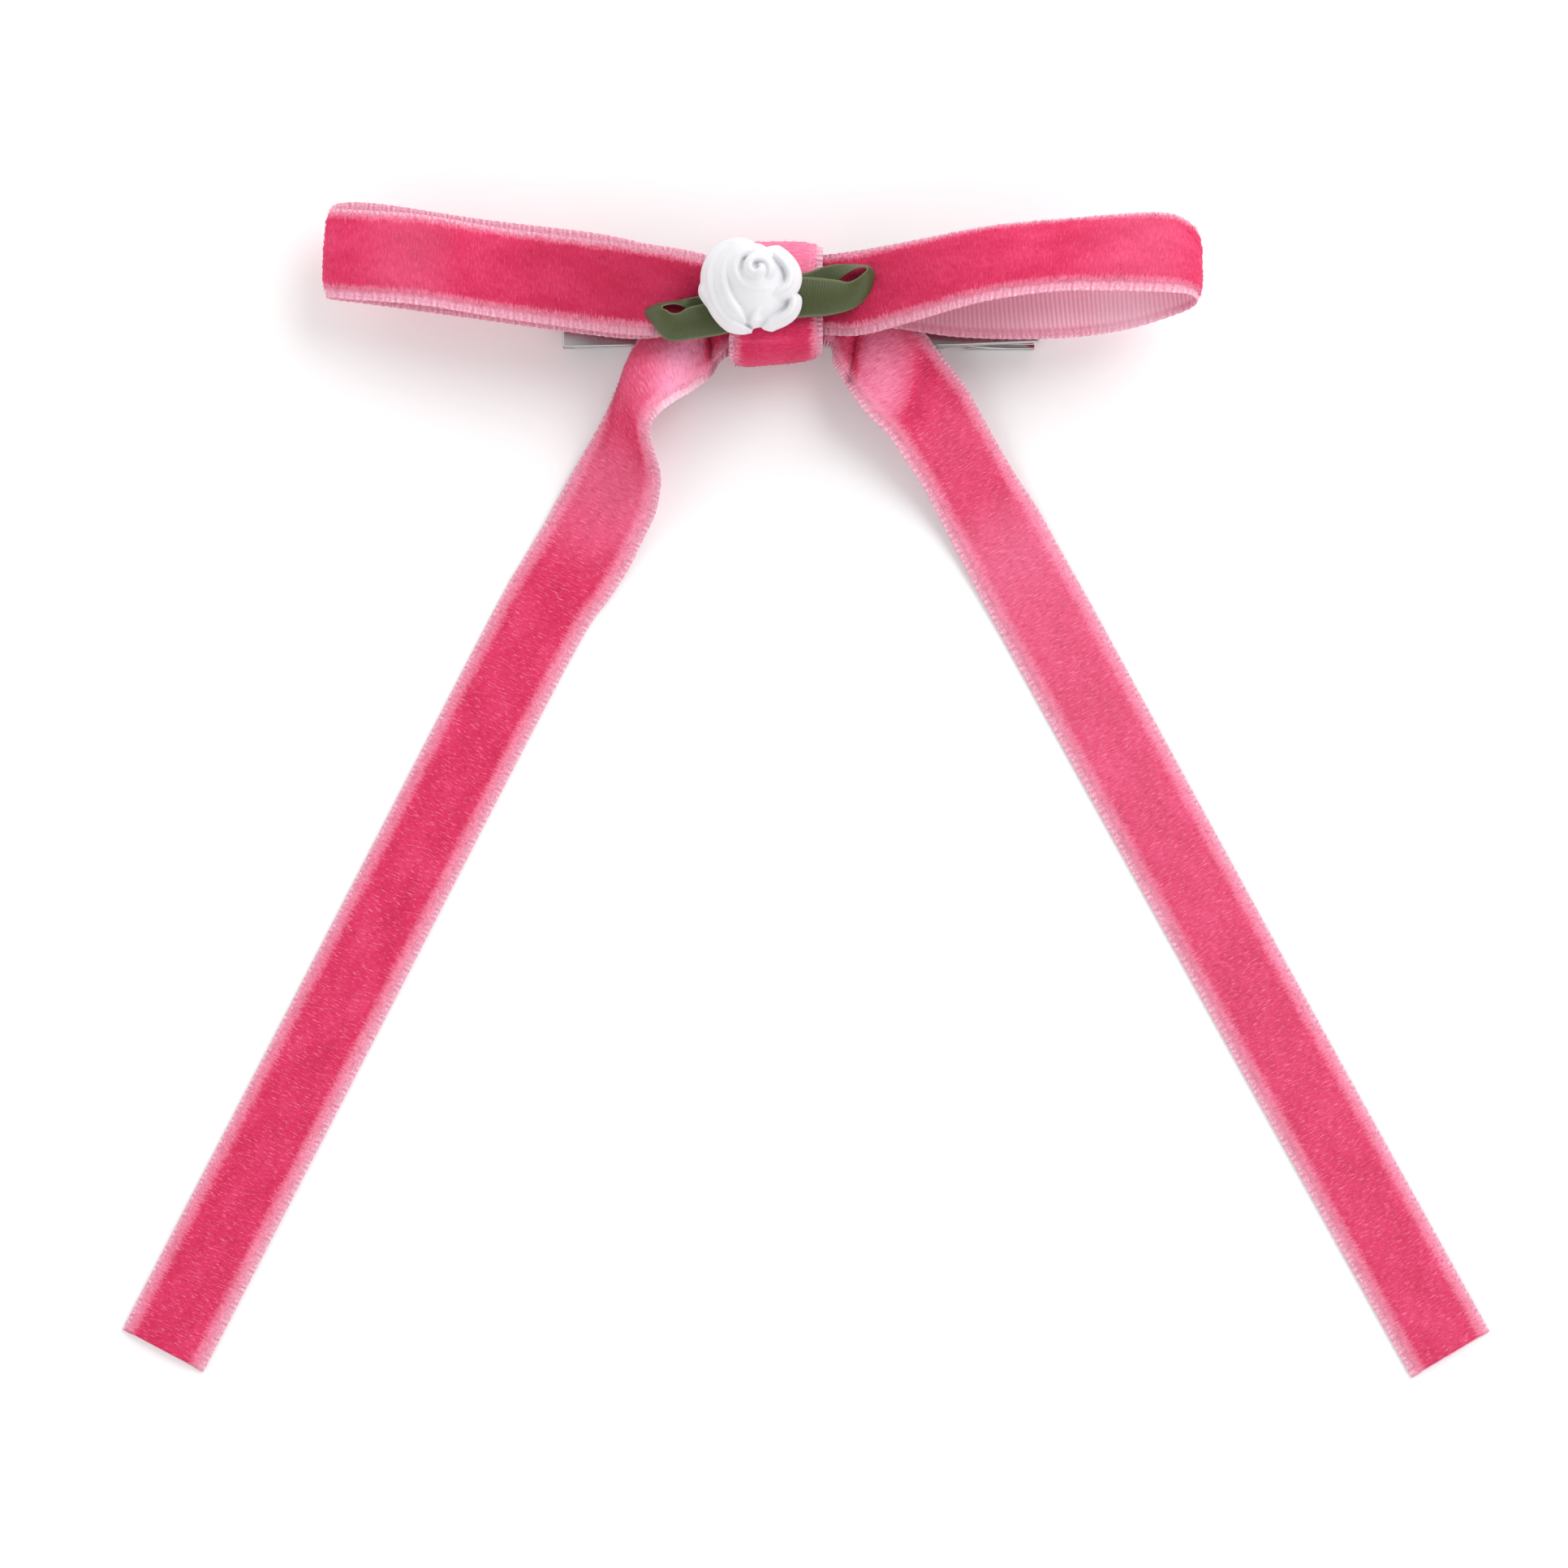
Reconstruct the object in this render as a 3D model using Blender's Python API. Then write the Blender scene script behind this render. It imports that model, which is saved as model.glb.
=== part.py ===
"""Hair barrette: a velvet ribbon bow with long tails and a ribbon rose on a sprung alligator clip.

The model is in metres, +Z up, lying on its back on a table at z = 0. The origin is on the
underside of the clip, in the middle of its length. +X runs along the clip to its thumb tabs,
and the bow's tails lead away towards -Y. The design figures below are in millimetres.
"""

import math

import bmesh
import bpy
from mathutils import Matrix, Vector

MM = 0.001
GAP = 0.3  # air kept between two pieces that touch on the real object
SHARP_ANGLE = math.radians(40.0)  # edges sharper than this stay sharp in the shading

# Alligator clip
CLIP_LENGTH = 50.0
CLIP_WIDTH = 8.0
SHEET = 0.6  # steel sheet of both arms
CLIP_PLATE_Z = 4.6  # top of the upper arm
TIP_X = -CLIP_LENGTH / 2
TAB_END_X = CLIP_LENGTH / 2
TAB_START_X = 16.5
TAB_ANGLE = math.radians(22.0)
SLOPE_START_X = -15.0  # from here the upper arm comes down to the tip
TIP_DROP = 1.7
UPPER_FLANGE = 1.9
LOWER_HALF_WIDTH = CLIP_WIDTH / 2 - SHEET - GAP
LOWER_FLANGE_TOP = 1.3
TOOTH_PITCH = 1.4
TOOTH_ROOT_Z = 1.7
TEETH_END_X = -10.0

# Hinge
HINGE_X = 14.0
HINGE_Z = 2.3
PIN_RADIUS = 0.6
PIN_HOLE_RADIUS = 0.75
PIN_HEAD_RADIUS = 1.0
PIN_HEAD = 0.4
EAR_RADIUS = 1.5
HINGE_SIDES = 24

# Torsion spring
WIRE = 0.45
COIL_RADIUS = 1.15
COIL_TURNS = 3.5
COIL_PITCH = 0.62
COIL_STEPS_PER_TURN = 14
SPRING_LEG_X = 21.0

# Ribbons
VELVET_WIDTH = 10.0
VELVET = 0.7  # backing and pile together
SATIN = 0.3
STEPS_PER_SPAN = 4

# Heights of the layers at the knot, measured to the middle of each layer
GLUE_Z = 5.1
GLUE = 0.4
TAIL_Z = 5.95
LOOP_BACK_Z = 6.95
LOOP_FRONT_Z = 7.95
WRAP_TOP_Z = 8.95
WRAP_UNDER_Z = 1.95
LEAF_LOW_Z = 9.9
LEAF_HIGH_Z = 11.1
ROSE_Z = 11.6  # underside of the rose

KNOT_X = -2.5
KNOT_Y = 0.3

ROSE_X = -4.85
ROSE_Y = 1.15
ROSE_RADIUS = 5.2
ROSE_HEIGHT = 6.2

# A ribbon station is (x, y, z, across, tilt): the middle of the ribbon, the direction in plan
# that the ribbon's width runs in, and how far the far edge is tipped up, in degrees.
# The loop ribbon starts behind the knot, runs out to the right loop and back over the knot to
# the left loop, and ends behind the knot again, butted against its start.
LOOP_STATIONS = [
    (KNOT_X + 0.3, KNOT_Y, LOOP_BACK_Z, -90, 0),
    (3.0, KNOT_Y, LOOP_BACK_Z, -90, 0),
    (8.0, 0.4, 7.1, -90, 0),
    (15.5, 0.8, 7.6, -90, 0),
    (25.0, 1.1, 8.9, -90, 0),
    (32.5, 1.7, 8.7, -90, 6),
    (38.2, 2.7, 8.7, -88, 24),
    (41.2, 3.8, 10.3, -88, 38),
    (39.4, 4.6, 12.4, -91, 40),
    (34.4, 4.8, 12.5, -90, 38),
    (26.5, 4.5, 12.2, -90, 37),
    (18.0, 3.5, 11.3, -90, 33),
    (10.5, 1.9, 9.9, -90, 22),
    (6.2, 0.8, 8.6, -90, 8),
    (3.2, KNOT_Y, LOOP_FRONT_Z, -90, 0),
    (KNOT_X, KNOT_Y, LOOP_FRONT_Z, -90, 0),
    (-7.5, KNOT_Y, LOOP_FRONT_Z, -90, 0),
    (-12.0, 0.9, 8.4, -90, 2),
    (-19.0, 1.9, 8.9, -91, 5),
    (-27.5, 2.8, 9.1, -93, 6),
    (-36.0, 3.8, 8.9, -94, 5),
    (-44.0, 4.8, 8.5, -95, 3),
    (-48.5, 5.2, 8.2, -96, 1),
    (-49.7, 5.3, 7.1, -96, 0),
    (-48.3, 5.4, 6.0, -96, 0),
    (-43.5, 5.1, 5.8, -95, 0),
    (-35.0, 4.2, 5.8, -94, 0),
    (-26.0, 3.2, 5.9, -93, 0),
    (-17.0, 1.8, 6.2, -91, 0),
    (-10.0, 0.6, 6.8, -90, 0),
    (-6.5, KNOT_Y, LOOP_BACK_Z, -90, 0),
    (KNOT_X - 0.3, KNOT_Y, LOOP_BACK_Z, -90, 0),
]

# The tail ribbon runs from the end of the left tail, up and behind the knot, and down the right.
TAIL_STATIONS = [
    (-67.8, -110.5, 0.4, -28, 0),
    (-49.0, -74.0, 0.4, -27.5, 0),
    (-30.2, -37.5, 0.4, -27.5, 0),
    (-24.4, -27.0, 1.1, -28, 3),
    (-21.4, -21.6, 2.0, -27, 15),
    (-19.8, -17.6, 3.2, -26, 30),
    (-18.7, -14.0, 4.4, -22, 45),
    (-17.2, -10.4, 5.2, -14, 48),
    (-15.2, -7.9, 5.4, -9, 26),
    (-12.9, -5.4, 5.45, -14, 2),
    (-10.4, -0.8, 5.5, -60, 0),
    (-6.6, KNOT_Y, TAIL_Z, -90, 0),
    (KNOT_X, KNOT_Y, TAIL_Z, -90, 0),
    (1.6, KNOT_Y, TAIL_Z, -90, 0),
    (5.6, -0.8, 5.7, -120, 0),
    (8.6, -5.2, 5.7, -165, 0),
    (11.6, -8.8, 5.2, -161, 10),
    (14.3, -12.4, 3.6, -160, 12),
    (17.1, -16.6, 2.4, -159, 20),
    (20.7, -22.8, 1.9, -153, 12),
    (25.8, -32.0, 0.7, -151, 2),
    (28.9, -37.5, 0.4, -151, 0),
    (49.0, -74.0, 0.4, -151, 0),
    (69.4, -110.9, 0.4, -149.5, 0),
]

# A leaf station is the ribbon's two edges, (x, y) each, and their heights, measured from the
# middle of the rose. The ribbon runs out under the rose, turns at the leaf's tip and comes back.
LEAF_STATIONS = [
    ((3.2, 1.4), (3.9, -3.6), LEAF_LOW_Z, LEAF_LOW_Z),
    ((6.9, 2.1), (7.5, -3.2), LEAF_LOW_Z, LEAF_LOW_Z),
    ((9.9, 2.7), (9.5, -2.5), 10.1, LEAF_LOW_Z + 0.2),
    ((11.7, 2.8), (10.6, -2.0), 10.4, 10.3),
    ((12.5, 2.2), (11.2, -1.6), 11.1, 10.8),
    ((11.4, 1.8), (10.4, -2.3), 12.0, 11.4),
    ((9.2, 1.0), (8.5, -3.1), 12.0, 11.2),
    ((6.3, 1.1), (6.3, -3.7), 11.5, LEAF_HIGH_Z),
    ((2.9, 1.2), (3.6, -3.9), LEAF_HIGH_Z, LEAF_HIGH_Z),
]
LEFT_LEAF_TURN = math.radians(20.0)
LEFT_LEAF_SCALE = 0.93


def material(name, colour, roughness, metallic=0.0):
    made = bpy.data.materials.new(name)
    made.use_nodes = True
    shader = made.node_tree.nodes["Principled BSDF"]
    shader.inputs["Base Color"].default_value = (*colour, 1.0)
    shader.inputs["Roughness"].default_value = roughness
    shader.inputs["Metallic"].default_value = metallic
    return made


def new_object(name, points_mm, faces, finish):
    """An object from points in millimetres, its faces turned to point out."""
    mesh = bpy.data.meshes.new(name)
    mesh.from_pydata([Vector(p) * MM for p in points_mm], [], faces)
    body = bmesh.new()
    body.from_mesh(mesh)
    bmesh.ops.recalc_face_normals(body, faces=body.faces)
    body.to_mesh(mesh)
    body.free()
    mesh.shade_smooth()
    mesh.set_sharp_from_angle(angle=SHARP_ANGLE)
    made = bpy.data.objects.new(name, mesh)
    made.data.materials.append(finish)
    bpy.context.scene.collection.objects.link(made)
    return made


def smooth_curve(values, steps, closed=False):
    """Points on a Catmull-Rom curve through the given vectors."""
    count = len(values)
    spans = count if closed else count - 1
    found = []
    for i in range(spans):
        if closed:
            before, start, end, after = (values[(i + k) % count] for k in (-1, 0, 1, 2))
        else:
            before, start, end, after = (values[min(max(i + k, 0), count - 1)] for k in (-1, 0, 1, 2))
        for k in range(steps):
            t = k / steps
            found.append(
                0.5
                * (
                    2 * start
                    + (end - before) * t
                    + (2 * before - 5 * start + 4 * end - after) * t**2
                    + (3 * start - before - 3 * end + after) * t**3
                )
            )
    return found if closed else found + [values[-1].copy()]


def ribbon(name, centres, acrosses, width, thickness, finish, steps=STEPS_PER_SPAN, closed=False):
    """A flat strip of even thickness. centres are its middle line, acrosses its width direction."""
    line = smooth_curve(centres, steps, closed)
    sides = [a.normalized() for a in smooth_curve(acrosses, steps, closed)]
    count = len(line)
    points = []
    for i in range(count):
        if closed:
            along = line[(i + 1) % count] - line[i - 1]
        else:
            along = line[min(i + 1, count - 1)] - line[max(i - 1, 0)]
        half = sides[i] * width[i] / 2 if isinstance(width, list) else sides[i] * width / 2
        up = along.cross(sides[i]).normalized() * thickness / 2
        points += [line[i] - half - up, line[i] + half - up, line[i] + half + up, line[i] - half + up]
    faces = []
    for i in range(count if closed else count - 1):
        a, b = 4 * i, 4 * ((i + 1) % count)
        faces += [(a + k, a + (k + 1) % 4, b + (k + 1) % 4, b + k) for k in range(4)]
    if not closed:
        last = 4 * (count - 1)
        faces += [(0, 1, 2, 3), (last, last + 1, last + 2, last + 3)]
    return new_object(name, points, faces, finish)


def station_vectors(stations):
    centres = [Vector(s[:3]) for s in stations]
    acrosses = []
    for _, _, _, across, tilt in stations:
        plan, lift = math.radians(across), math.radians(tilt)
        acrosses.append(
            Vector((math.cos(plan) * math.cos(lift), math.sin(plan) * math.cos(lift), math.sin(lift)))
        )
    return centres, acrosses


def plate_height(x):
    """Height of the upper arm's top face: level, down towards the tip, up along the tab."""
    if x < SLOPE_START_X:
        share = (SLOPE_START_X - x) / (SLOPE_START_X - TIP_X)
        return CLIP_PLATE_Z - TIP_DROP * share * share
    if x > TAB_START_X:
        return CLIP_PLATE_Z + (x - TAB_START_X) * math.tan(TAB_ANGLE)
    return CLIP_PLATE_Z


def ear_depth(x):
    """Lowest point of a round ear centred on the hinge, or None where there is no ear."""
    offset = x - HINGE_X
    if abs(offset) > EAR_RADIUS:
        return None
    return math.sqrt(EAR_RADIUS**2 - offset**2)


def ear_stations():
    """X positions that draw the round ear, close together near its sides."""
    steps = 8
    return [HINGE_X - EAR_RADIUS * math.cos(math.pi * k / steps) for k in range(steps + 1)]


def channel(name, rows, end_edge_z, finish):
    """A bent-up sheet: a plate with two side flanges and one end flange at the tip.

    rows are (x, half width, plate z, flange edge z). The sheet is solidified inwards.
    """
    points, faces = [], []
    for x, half, plate, edge in rows:
        points += [(x, -half, edge), (x, -half, plate), (x, half, plate), (x, half, edge)]
    for i in range(len(rows) - 1):
        a, b = 4 * i, 4 * (i + 1)
        faces += [(a + k, a + k + 1, b + k + 1, b + k) for k in range(3)]
    tip_x, tip_half = rows[0][:2]
    if end_edge_z is not None:
        points[0] = (tip_x, -tip_half, end_edge_z)
        points[3] = (tip_x, tip_half, end_edge_z)
        faces.append((3, 2, 1, 0))
    made = new_object(name, points, faces, finish)
    solid = made.modifiers.new("sheet", "SOLIDIFY")
    solid.thickness = SHEET * MM
    solid.offset = -1.0
    solid.use_even_offset = True
    return made


def set_origin(made, place_mm):
    """Move an object's origin, and leave its mesh where it is."""
    place = Vector(place_mm) * MM
    made.data.transform(Matrix.Translation(-place))
    made.location = place


def face_outwards(made, outside):
    """Turn a surface's normals so that the face nearest the point outside faces it."""
    mesh = made.data
    body = bmesh.new()
    body.from_mesh(mesh)
    outside = Vector(outside) * MM
    nearest = min(body.faces, key=lambda f: (f.calc_center_median() - outside).length)
    if nearest.normal.dot(outside - nearest.calc_center_median()) < 0:
        bmesh.ops.reverse_faces(body, faces=body.faces)
    body.to_mesh(mesh)
    body.free()


def cylinder(name, x, z, radius, y_low, y_high, finish):
    """A closed cylinder along Y."""
    points, faces = [], []
    for y in (y_low, y_high):
        for k in range(HINGE_SIDES):
            turn = 2 * math.pi * k / HINGE_SIDES
            points.append((x + radius * math.cos(turn), y, z + radius * math.sin(turn)))
    ring = range(HINGE_SIDES)
    faces = [(k, (k + 1) % HINGE_SIDES, HINGE_SIDES + (k + 1) % HINGE_SIDES, HINGE_SIDES + k) for k in ring]
    faces += [tuple(ring), tuple(HINGE_SIDES + k for k in ring)]
    return new_object(name, points, faces, finish)


def tube(name, line, radius, sides, finish):
    """A round wire along a line of points, closed at both ends."""
    line = [Vector(p) for p in line]
    count = len(line)
    points, faces = [], []
    across = None
    for i in range(count):
        along = (line[min(i + 1, count - 1)] - line[max(i - 1, 0)]).normalized()
        if across is None:
            across = along.orthogonal()
        across = (across - along * across.dot(along)).normalized()
        other = along.cross(across)
        for k in range(sides):
            turn = 2 * math.pi * k / sides
            points.append(line[i] + (across * math.cos(turn) + other * math.sin(turn)) * radius)
    for i in range(count - 1):
        a, b = sides * i, sides * (i + 1)
        faces += [(a + k, a + (k + 1) % sides, b + (k + 1) % sides, b + k) for k in range(sides)]
    last = sides * (count - 1)
    faces += [tuple(range(sides)), tuple(range(last, last + sides))]
    return new_object(name, points, faces, finish)


def cut(target, cutter):
    boolean = target.modifiers.new("hole", "BOOLEAN")
    boolean.operation = "DIFFERENCE"
    boolean.object = cutter
    cutter.hide_render = True
    cutter.display_type = "WIRE"


def upper_arm(steel, hole):
    """The arm that carries the bow: flanges turned down, ears at the hinge and a raised tab."""
    xs = {TIP_X, -23.0, -21.0, -19.0, -17.0, SLOPE_START_X, -4.0, 8.0, TAB_START_X, 21.0, TAB_END_X}
    xs |= set(ear_stations())
    rows = []
    for x in sorted(xs):
        plate = plate_height(x)
        edge = plate - UPPER_FLANGE
        if ear_depth(x) is not None:
            edge = min(edge, HINGE_Z - ear_depth(x))
        if x > TAB_START_X:
            edge = plate - SHEET - 0.5
        rows.append((x, CLIP_WIDTH / 2, plate, edge))
    arm = channel("clip_upper_arm", rows, plate_height(TIP_X) - UPPER_FLANGE, steel)
    face_outwards(arm, (0, 0, 50))
    cut(arm, hole)
    return arm


def lower_arm(steel, hole):
    """The moving arm: a flat plate with toothed flanges turned up and ears inside the upper ones."""
    rows = []
    teeth = int((TEETH_END_X - TIP_X) / TOOTH_PITCH * 2)
    for k in range(teeth + 1):
        x = TIP_X + SHEET + GAP + k * TOOTH_PITCH / 2
        tooth_top = plate_height(x) - SHEET - GAP
        rows.append((x, LOWER_HALF_WIDTH, 0.0, TOOTH_ROOT_Z if k % 2 else min(tooth_top, 2.6)))
    rows.append((rows[-1][0] + TOOTH_PITCH / 2, LOWER_HALF_WIDTH, 0.0, LOWER_FLANGE_TOP))
    for x in (0.0, 9.0):
        rows.append((x, LOWER_HALF_WIDTH, 0.0, LOWER_FLANGE_TOP))
    for x in ear_stations():
        top = max(LOWER_FLANGE_TOP, HINGE_Z + ear_depth(x) - 0.1)
        rows.append((x, LOWER_HALF_WIDTH, 0.0, top))
    rows.append((HINGE_X + EAR_RADIUS + 1.0, LOWER_HALF_WIDTH, 0.0, SHEET + 0.5))
    rows.append((HINGE_X + EAR_RADIUS + 2.5, CLIP_WIDTH / 2, 0.0, SHEET + 0.5))
    rows.append((TAB_END_X, CLIP_WIDTH / 2, 0.0, SHEET + 0.5))
    arm = channel("clip_lower_arm", rows, rows[0][3], steel)
    face_outwards(arm, (0, 0, -50))
    set_origin(arm, (HINGE_X, 0, HINGE_Z))
    cut(arm, hole)
    return arm


def hinge_pin(steel):
    """A headed pin, turned about the hinge axis as one profile."""
    head_in = CLIP_WIDTH / 2 + GAP
    head_out = head_in + PIN_HEAD
    half = [
        (PIN_RADIUS, head_in),
        (PIN_HEAD_RADIUS, head_in),
        (PIN_HEAD_RADIUS, head_out - 0.15),
        (PIN_HEAD_RADIUS * 0.7, head_out),
    ]
    profile = [(-y, radius) for radius, y in reversed(half)] + [(y, radius) for radius, y in half]
    points, faces = [], []
    for y, radius in profile:
        for k in range(HINGE_SIDES):
            turn = 2 * math.pi * k / HINGE_SIDES
            points.append((HINGE_X + radius * math.cos(turn), y, HINGE_Z + radius * math.sin(turn)))
    for i in range(len(profile) - 1):
        a, b = HINGE_SIDES * i, HINGE_SIDES * (i + 1)
        for k in range(HINGE_SIDES):
            after = (k + 1) % HINGE_SIDES
            faces.append((a + k, a + after, b + after, b + k))
    last = HINGE_SIDES * (len(profile) - 1)
    faces += [tuple(range(HINGE_SIDES)), tuple(range(last, last + HINGE_SIDES))]
    pin = new_object("hinge_pin", points, faces, steel)
    return pin


def torsion_spring(steel):
    """A wire coil round the pin, with a leg under the upper tab and a leg on the lower tab."""
    half_length = COIL_PITCH * COIL_TURNS / 2
    points = [(SPRING_LEG_X, -half_length, HINGE_Z - COIL_RADIUS)]
    points.append((HINGE_X + 2.0, -half_length, HINGE_Z - COIL_RADIUS))
    steps = int(COIL_STEPS_PER_TURN * COIL_TURNS)
    for k in range(steps + 1):
        share = k / steps
        turn = -math.pi / 2 - 2 * math.pi * COIL_TURNS * share
        x = HINGE_X + COIL_RADIUS * math.cos(turn)
        z = HINGE_Z + COIL_RADIUS * math.sin(turn)
        points.append((x, -half_length + 2 * half_length * share, z))
    leg_run = SPRING_LEG_X - HINGE_X - 2.0
    points.append((HINGE_X + 2.0, half_length, HINGE_Z + COIL_RADIUS))
    points.append((SPRING_LEG_X, half_length, HINGE_Z + COIL_RADIUS + leg_run * math.tan(TAB_ANGLE) * 0.7))
    return tube("torsion_spring", points, WIRE / 2, 8, steel)


def knot_wrap(velvet):
    """The short ribbon wound once round the bow's middle and the clip's upper arm."""
    half = 5.85  # of the ring's middle line, along Y
    corner = 1.2
    steps = 3
    low, high = WRAP_UNDER_Z, WRAP_TOP_Z
    centres, acrosses = [], []
    for sign_y, sign_z, start in ((1, 1, 0), (-1, 1, 90), (-1, -1, 180), (1, -1, 270)):
        for k in range(steps + 1):
            turn = math.radians(start + 90 * k / steps)
            y = KNOT_Y + sign_y * (half - corner) + corner * math.cos(turn)
            z = (high if sign_z > 0 else low) - sign_z * corner + corner * math.sin(turn)
            skew = 0.05 if sign_y < 0 else 0.0
            centres.append(Vector((KNOT_X, y, z)))
            acrosses.append(Vector((1.0, skew, 0.0)))
    return ribbon("knot_wrap", centres, acrosses, VELVET_WIDTH - 0.2, VELVET, velvet, steps=1, closed=True)


def leaf(name, satin, mirror, turn, scale):
    """A satin ribbon folded back on itself at a pointed tip."""
    centres, acrosses, widths = [], [], []
    for upper, lower, upper_z, lower_z in LEAF_STATIONS:
        edges = []
        for (x, y), z in ((upper, upper_z), (lower, lower_z)):
            x, y = x * scale * (-1 if mirror else 1), y * scale
            edges.append(
                Vector(
                    (
                        ROSE_X + x * math.cos(turn) - y * math.sin(turn),
                        ROSE_Y + x * math.sin(turn) + y * math.cos(turn),
                        z,
                    )
                )
            )
        centres.append((edges[0] + edges[1]) / 2)
        acrosses.append(edges[1] - edges[0])
    line_widths = [a.length for a in smooth_curve(acrosses, STEPS_PER_SPAN)]
    return ribbon(name, centres, acrosses, line_widths, SATIN, satin)


def rose(satin):
    """The rolled ribbon rose as its outer shape: a bud on five shallow petals."""
    sides = 30
    petals = 5
    profile = [(0.55, 0.0), (0.9, 0.12), (1.0, 0.32), (0.95, 0.52), (0.74, 0.74), (0.5, 0.9), (0.24, 1.0)]
    points, faces = [], []
    for share, height in profile:
        for k in range(sides):
            turn = 2 * math.pi * k / sides
            wave = 1 + 0.035 * math.cos(petals * turn) * (1 - height)
            radius = ROSE_RADIUS * share * wave
            x = ROSE_X + radius * math.cos(turn)
            y = ROSE_Y + radius * math.sin(turn)
            points.append((x, y, ROSE_Z + ROSE_HEIGHT * height))
    for i in range(len(profile) - 1):
        a, b = sides * i, sides * (i + 1)
        faces += [(a + k, a + (k + 1) % sides, b + (k + 1) % sides, b + k) for k in range(sides)]
    last = sides * (len(profile) - 1)
    faces += [tuple(range(sides)), tuple(range(last, last + sides))]
    return new_object("ribbon_rose", points, faces, satin)


def glue_pad(name, x, y, z_low, z_high, radius_x, radius_y, finish):
    """A dab of set hot glue, rounded at its rim."""
    sides = 20
    points, faces = [], []
    levels = ((0.85, 0.0), (1.0, 0.5), (0.85, 1.0))
    for share, height in levels:
        for k in range(sides):
            turn = 2 * math.pi * k / sides
            points.append(
                (
                    x + radius_x * share * math.cos(turn),
                    y + radius_y * share * math.sin(turn),
                    z_low + (z_high - z_low) * height,
                )
            )
    for i in range(len(levels) - 1):
        a, b = sides * i, sides * (i + 1)
        faces += [(a + k, a + (k + 1) % sides, b + (k + 1) % sides, b + k) for k in range(sides)]
    last = sides * (len(levels) - 1)
    faces += [tuple(range(sides)), tuple(range(last, last + sides))]
    return new_object(name, points, faces, finish)


def build():
    for found in list(bpy.data.objects):
        bpy.data.objects.remove(found)
    steel = material("plated_steel", (0.75, 0.75, 0.76), 0.2, 1.0)
    wire = material("spring_steel", (0.55, 0.55, 0.56), 0.3, 1.0)
    velvet = material("pink_velvet", (0.78, 0.07, 0.16), 0.9)
    white = material("white_satin", (0.9, 0.9, 0.92), 0.4)
    green = material("green_satin", (0.09, 0.14, 0.05), 0.4)
    glue = material("hot_glue", (0.85, 0.83, 0.75), 0.5)

    reach = CLIP_WIDTH
    hole = cylinder("pin_hole_cutter", HINGE_X, HINGE_Z, PIN_HOLE_RADIUS, -reach, reach, steel)
    upper_arm(steel, hole)
    lower_arm(steel, hole)
    hinge_pin(steel)
    torsion_spring(wire)

    glue_pad("bow_glue", KNOT_X, 0.0, GLUE_Z - GLUE / 2, GLUE_Z + GLUE / 2, 4.0, 3.0, glue)
    ribbon("tail_ribbon", *station_vectors(TAIL_STATIONS), VELVET_WIDTH, VELVET, velvet)
    ribbon("loop_ribbon", *station_vectors(LOOP_STATIONS), VELVET_WIDTH, VELVET, velvet)
    knot_wrap(velvet)

    leaf("leaf_right", green, False, 0.0, 1.0)
    leaf("leaf_left", green, True, LEFT_LEAF_TURN, LEFT_LEAF_SCALE)
    glue_pad("rose_glue", ROSE_X, ROSE_Y, WRAP_TOP_Z + VELVET / 2 + GAP, ROSE_Z - GAP, 1.8, 1.8, glue)
    rose(white)


build()
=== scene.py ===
"""Looks for the hair barrette: a velvet ribbon bow, a ribbon rose and satin leaves on a sprung clip.

Design figures are in millimetres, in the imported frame: +X along the clip to its thumb tabs,
the tails lead away towards -Y, and +Z is up off the table.
"""

import math

import bmesh
import bpy
import numpy as np
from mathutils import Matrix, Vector


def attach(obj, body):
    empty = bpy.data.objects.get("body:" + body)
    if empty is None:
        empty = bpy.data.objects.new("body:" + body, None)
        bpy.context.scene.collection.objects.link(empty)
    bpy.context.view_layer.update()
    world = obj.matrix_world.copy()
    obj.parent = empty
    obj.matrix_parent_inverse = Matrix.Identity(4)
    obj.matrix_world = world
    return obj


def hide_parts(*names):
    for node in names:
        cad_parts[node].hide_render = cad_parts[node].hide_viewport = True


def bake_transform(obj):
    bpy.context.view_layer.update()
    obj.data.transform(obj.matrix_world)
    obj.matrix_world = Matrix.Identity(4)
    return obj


MM = 0.001
BOW = "bow_and_upper_arm"
LOWER = "lower_arm"

# Camera and light
CAMERA_PLACE = (-1.6, -50.2, 400.0)
FIELD_WIDTH = 167.1  # how much of the table the camera sees
SENSOR = 36.0
DOME_SIDES = 1.4
DOME_TOP = 0.25
DOME_DIMS = (0.62, 0.92)  # where the dome dims towards its top, as heights from 0 to 1
KEY_PLACE = (350, 330, 520)
KEY_AIM = (0, -30, 0)
KEY_SIZE = 520
KEY_WATTS = 2.3
FLOOR_REACH = 3000.0

# Velvet ribbon
RIBBON_WIDTH = 10.0
GROUND = 0.26  # thickness of the woven ground
PILE_HEIGHT = 0.5
PICOT_PITCH = 0.9  # from one edge loop to the next
PICOT = 0.06  # how far the edge loops stand out
PICOT_RISE = (0.9, 0.1)  # share of the half width where they start, and over which they grow
BEAD_PITCH = 0.62
RIB = 0.025
RIB_RISE = (0.78, 0.06)
RIB_PITCH = 0.48
SATIN_RIB_PITCH = 0.28
GROUND_STEP = 0.15
PILE_STEP = 0.25
PILE_COLUMNS = 34
PILE_TRIM = 0.2  # bare ground at a cut end
PILE_SUNK = 0.06  # how far the pile's border lies inside the ground
PILE_UNDERSIDE = 0.02
PILE_WANDER = 0.012  # how far the pile's border wanders, as a share of its width
PILE_GRAIN = 0.024
BORDER_TUFTS = 16  # for each millimetre of pile border
FIELD_TUFTS = 6  # for each square millimetre of pile
PILE_SHARE = 0.85  # of the ribbon's width
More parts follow.
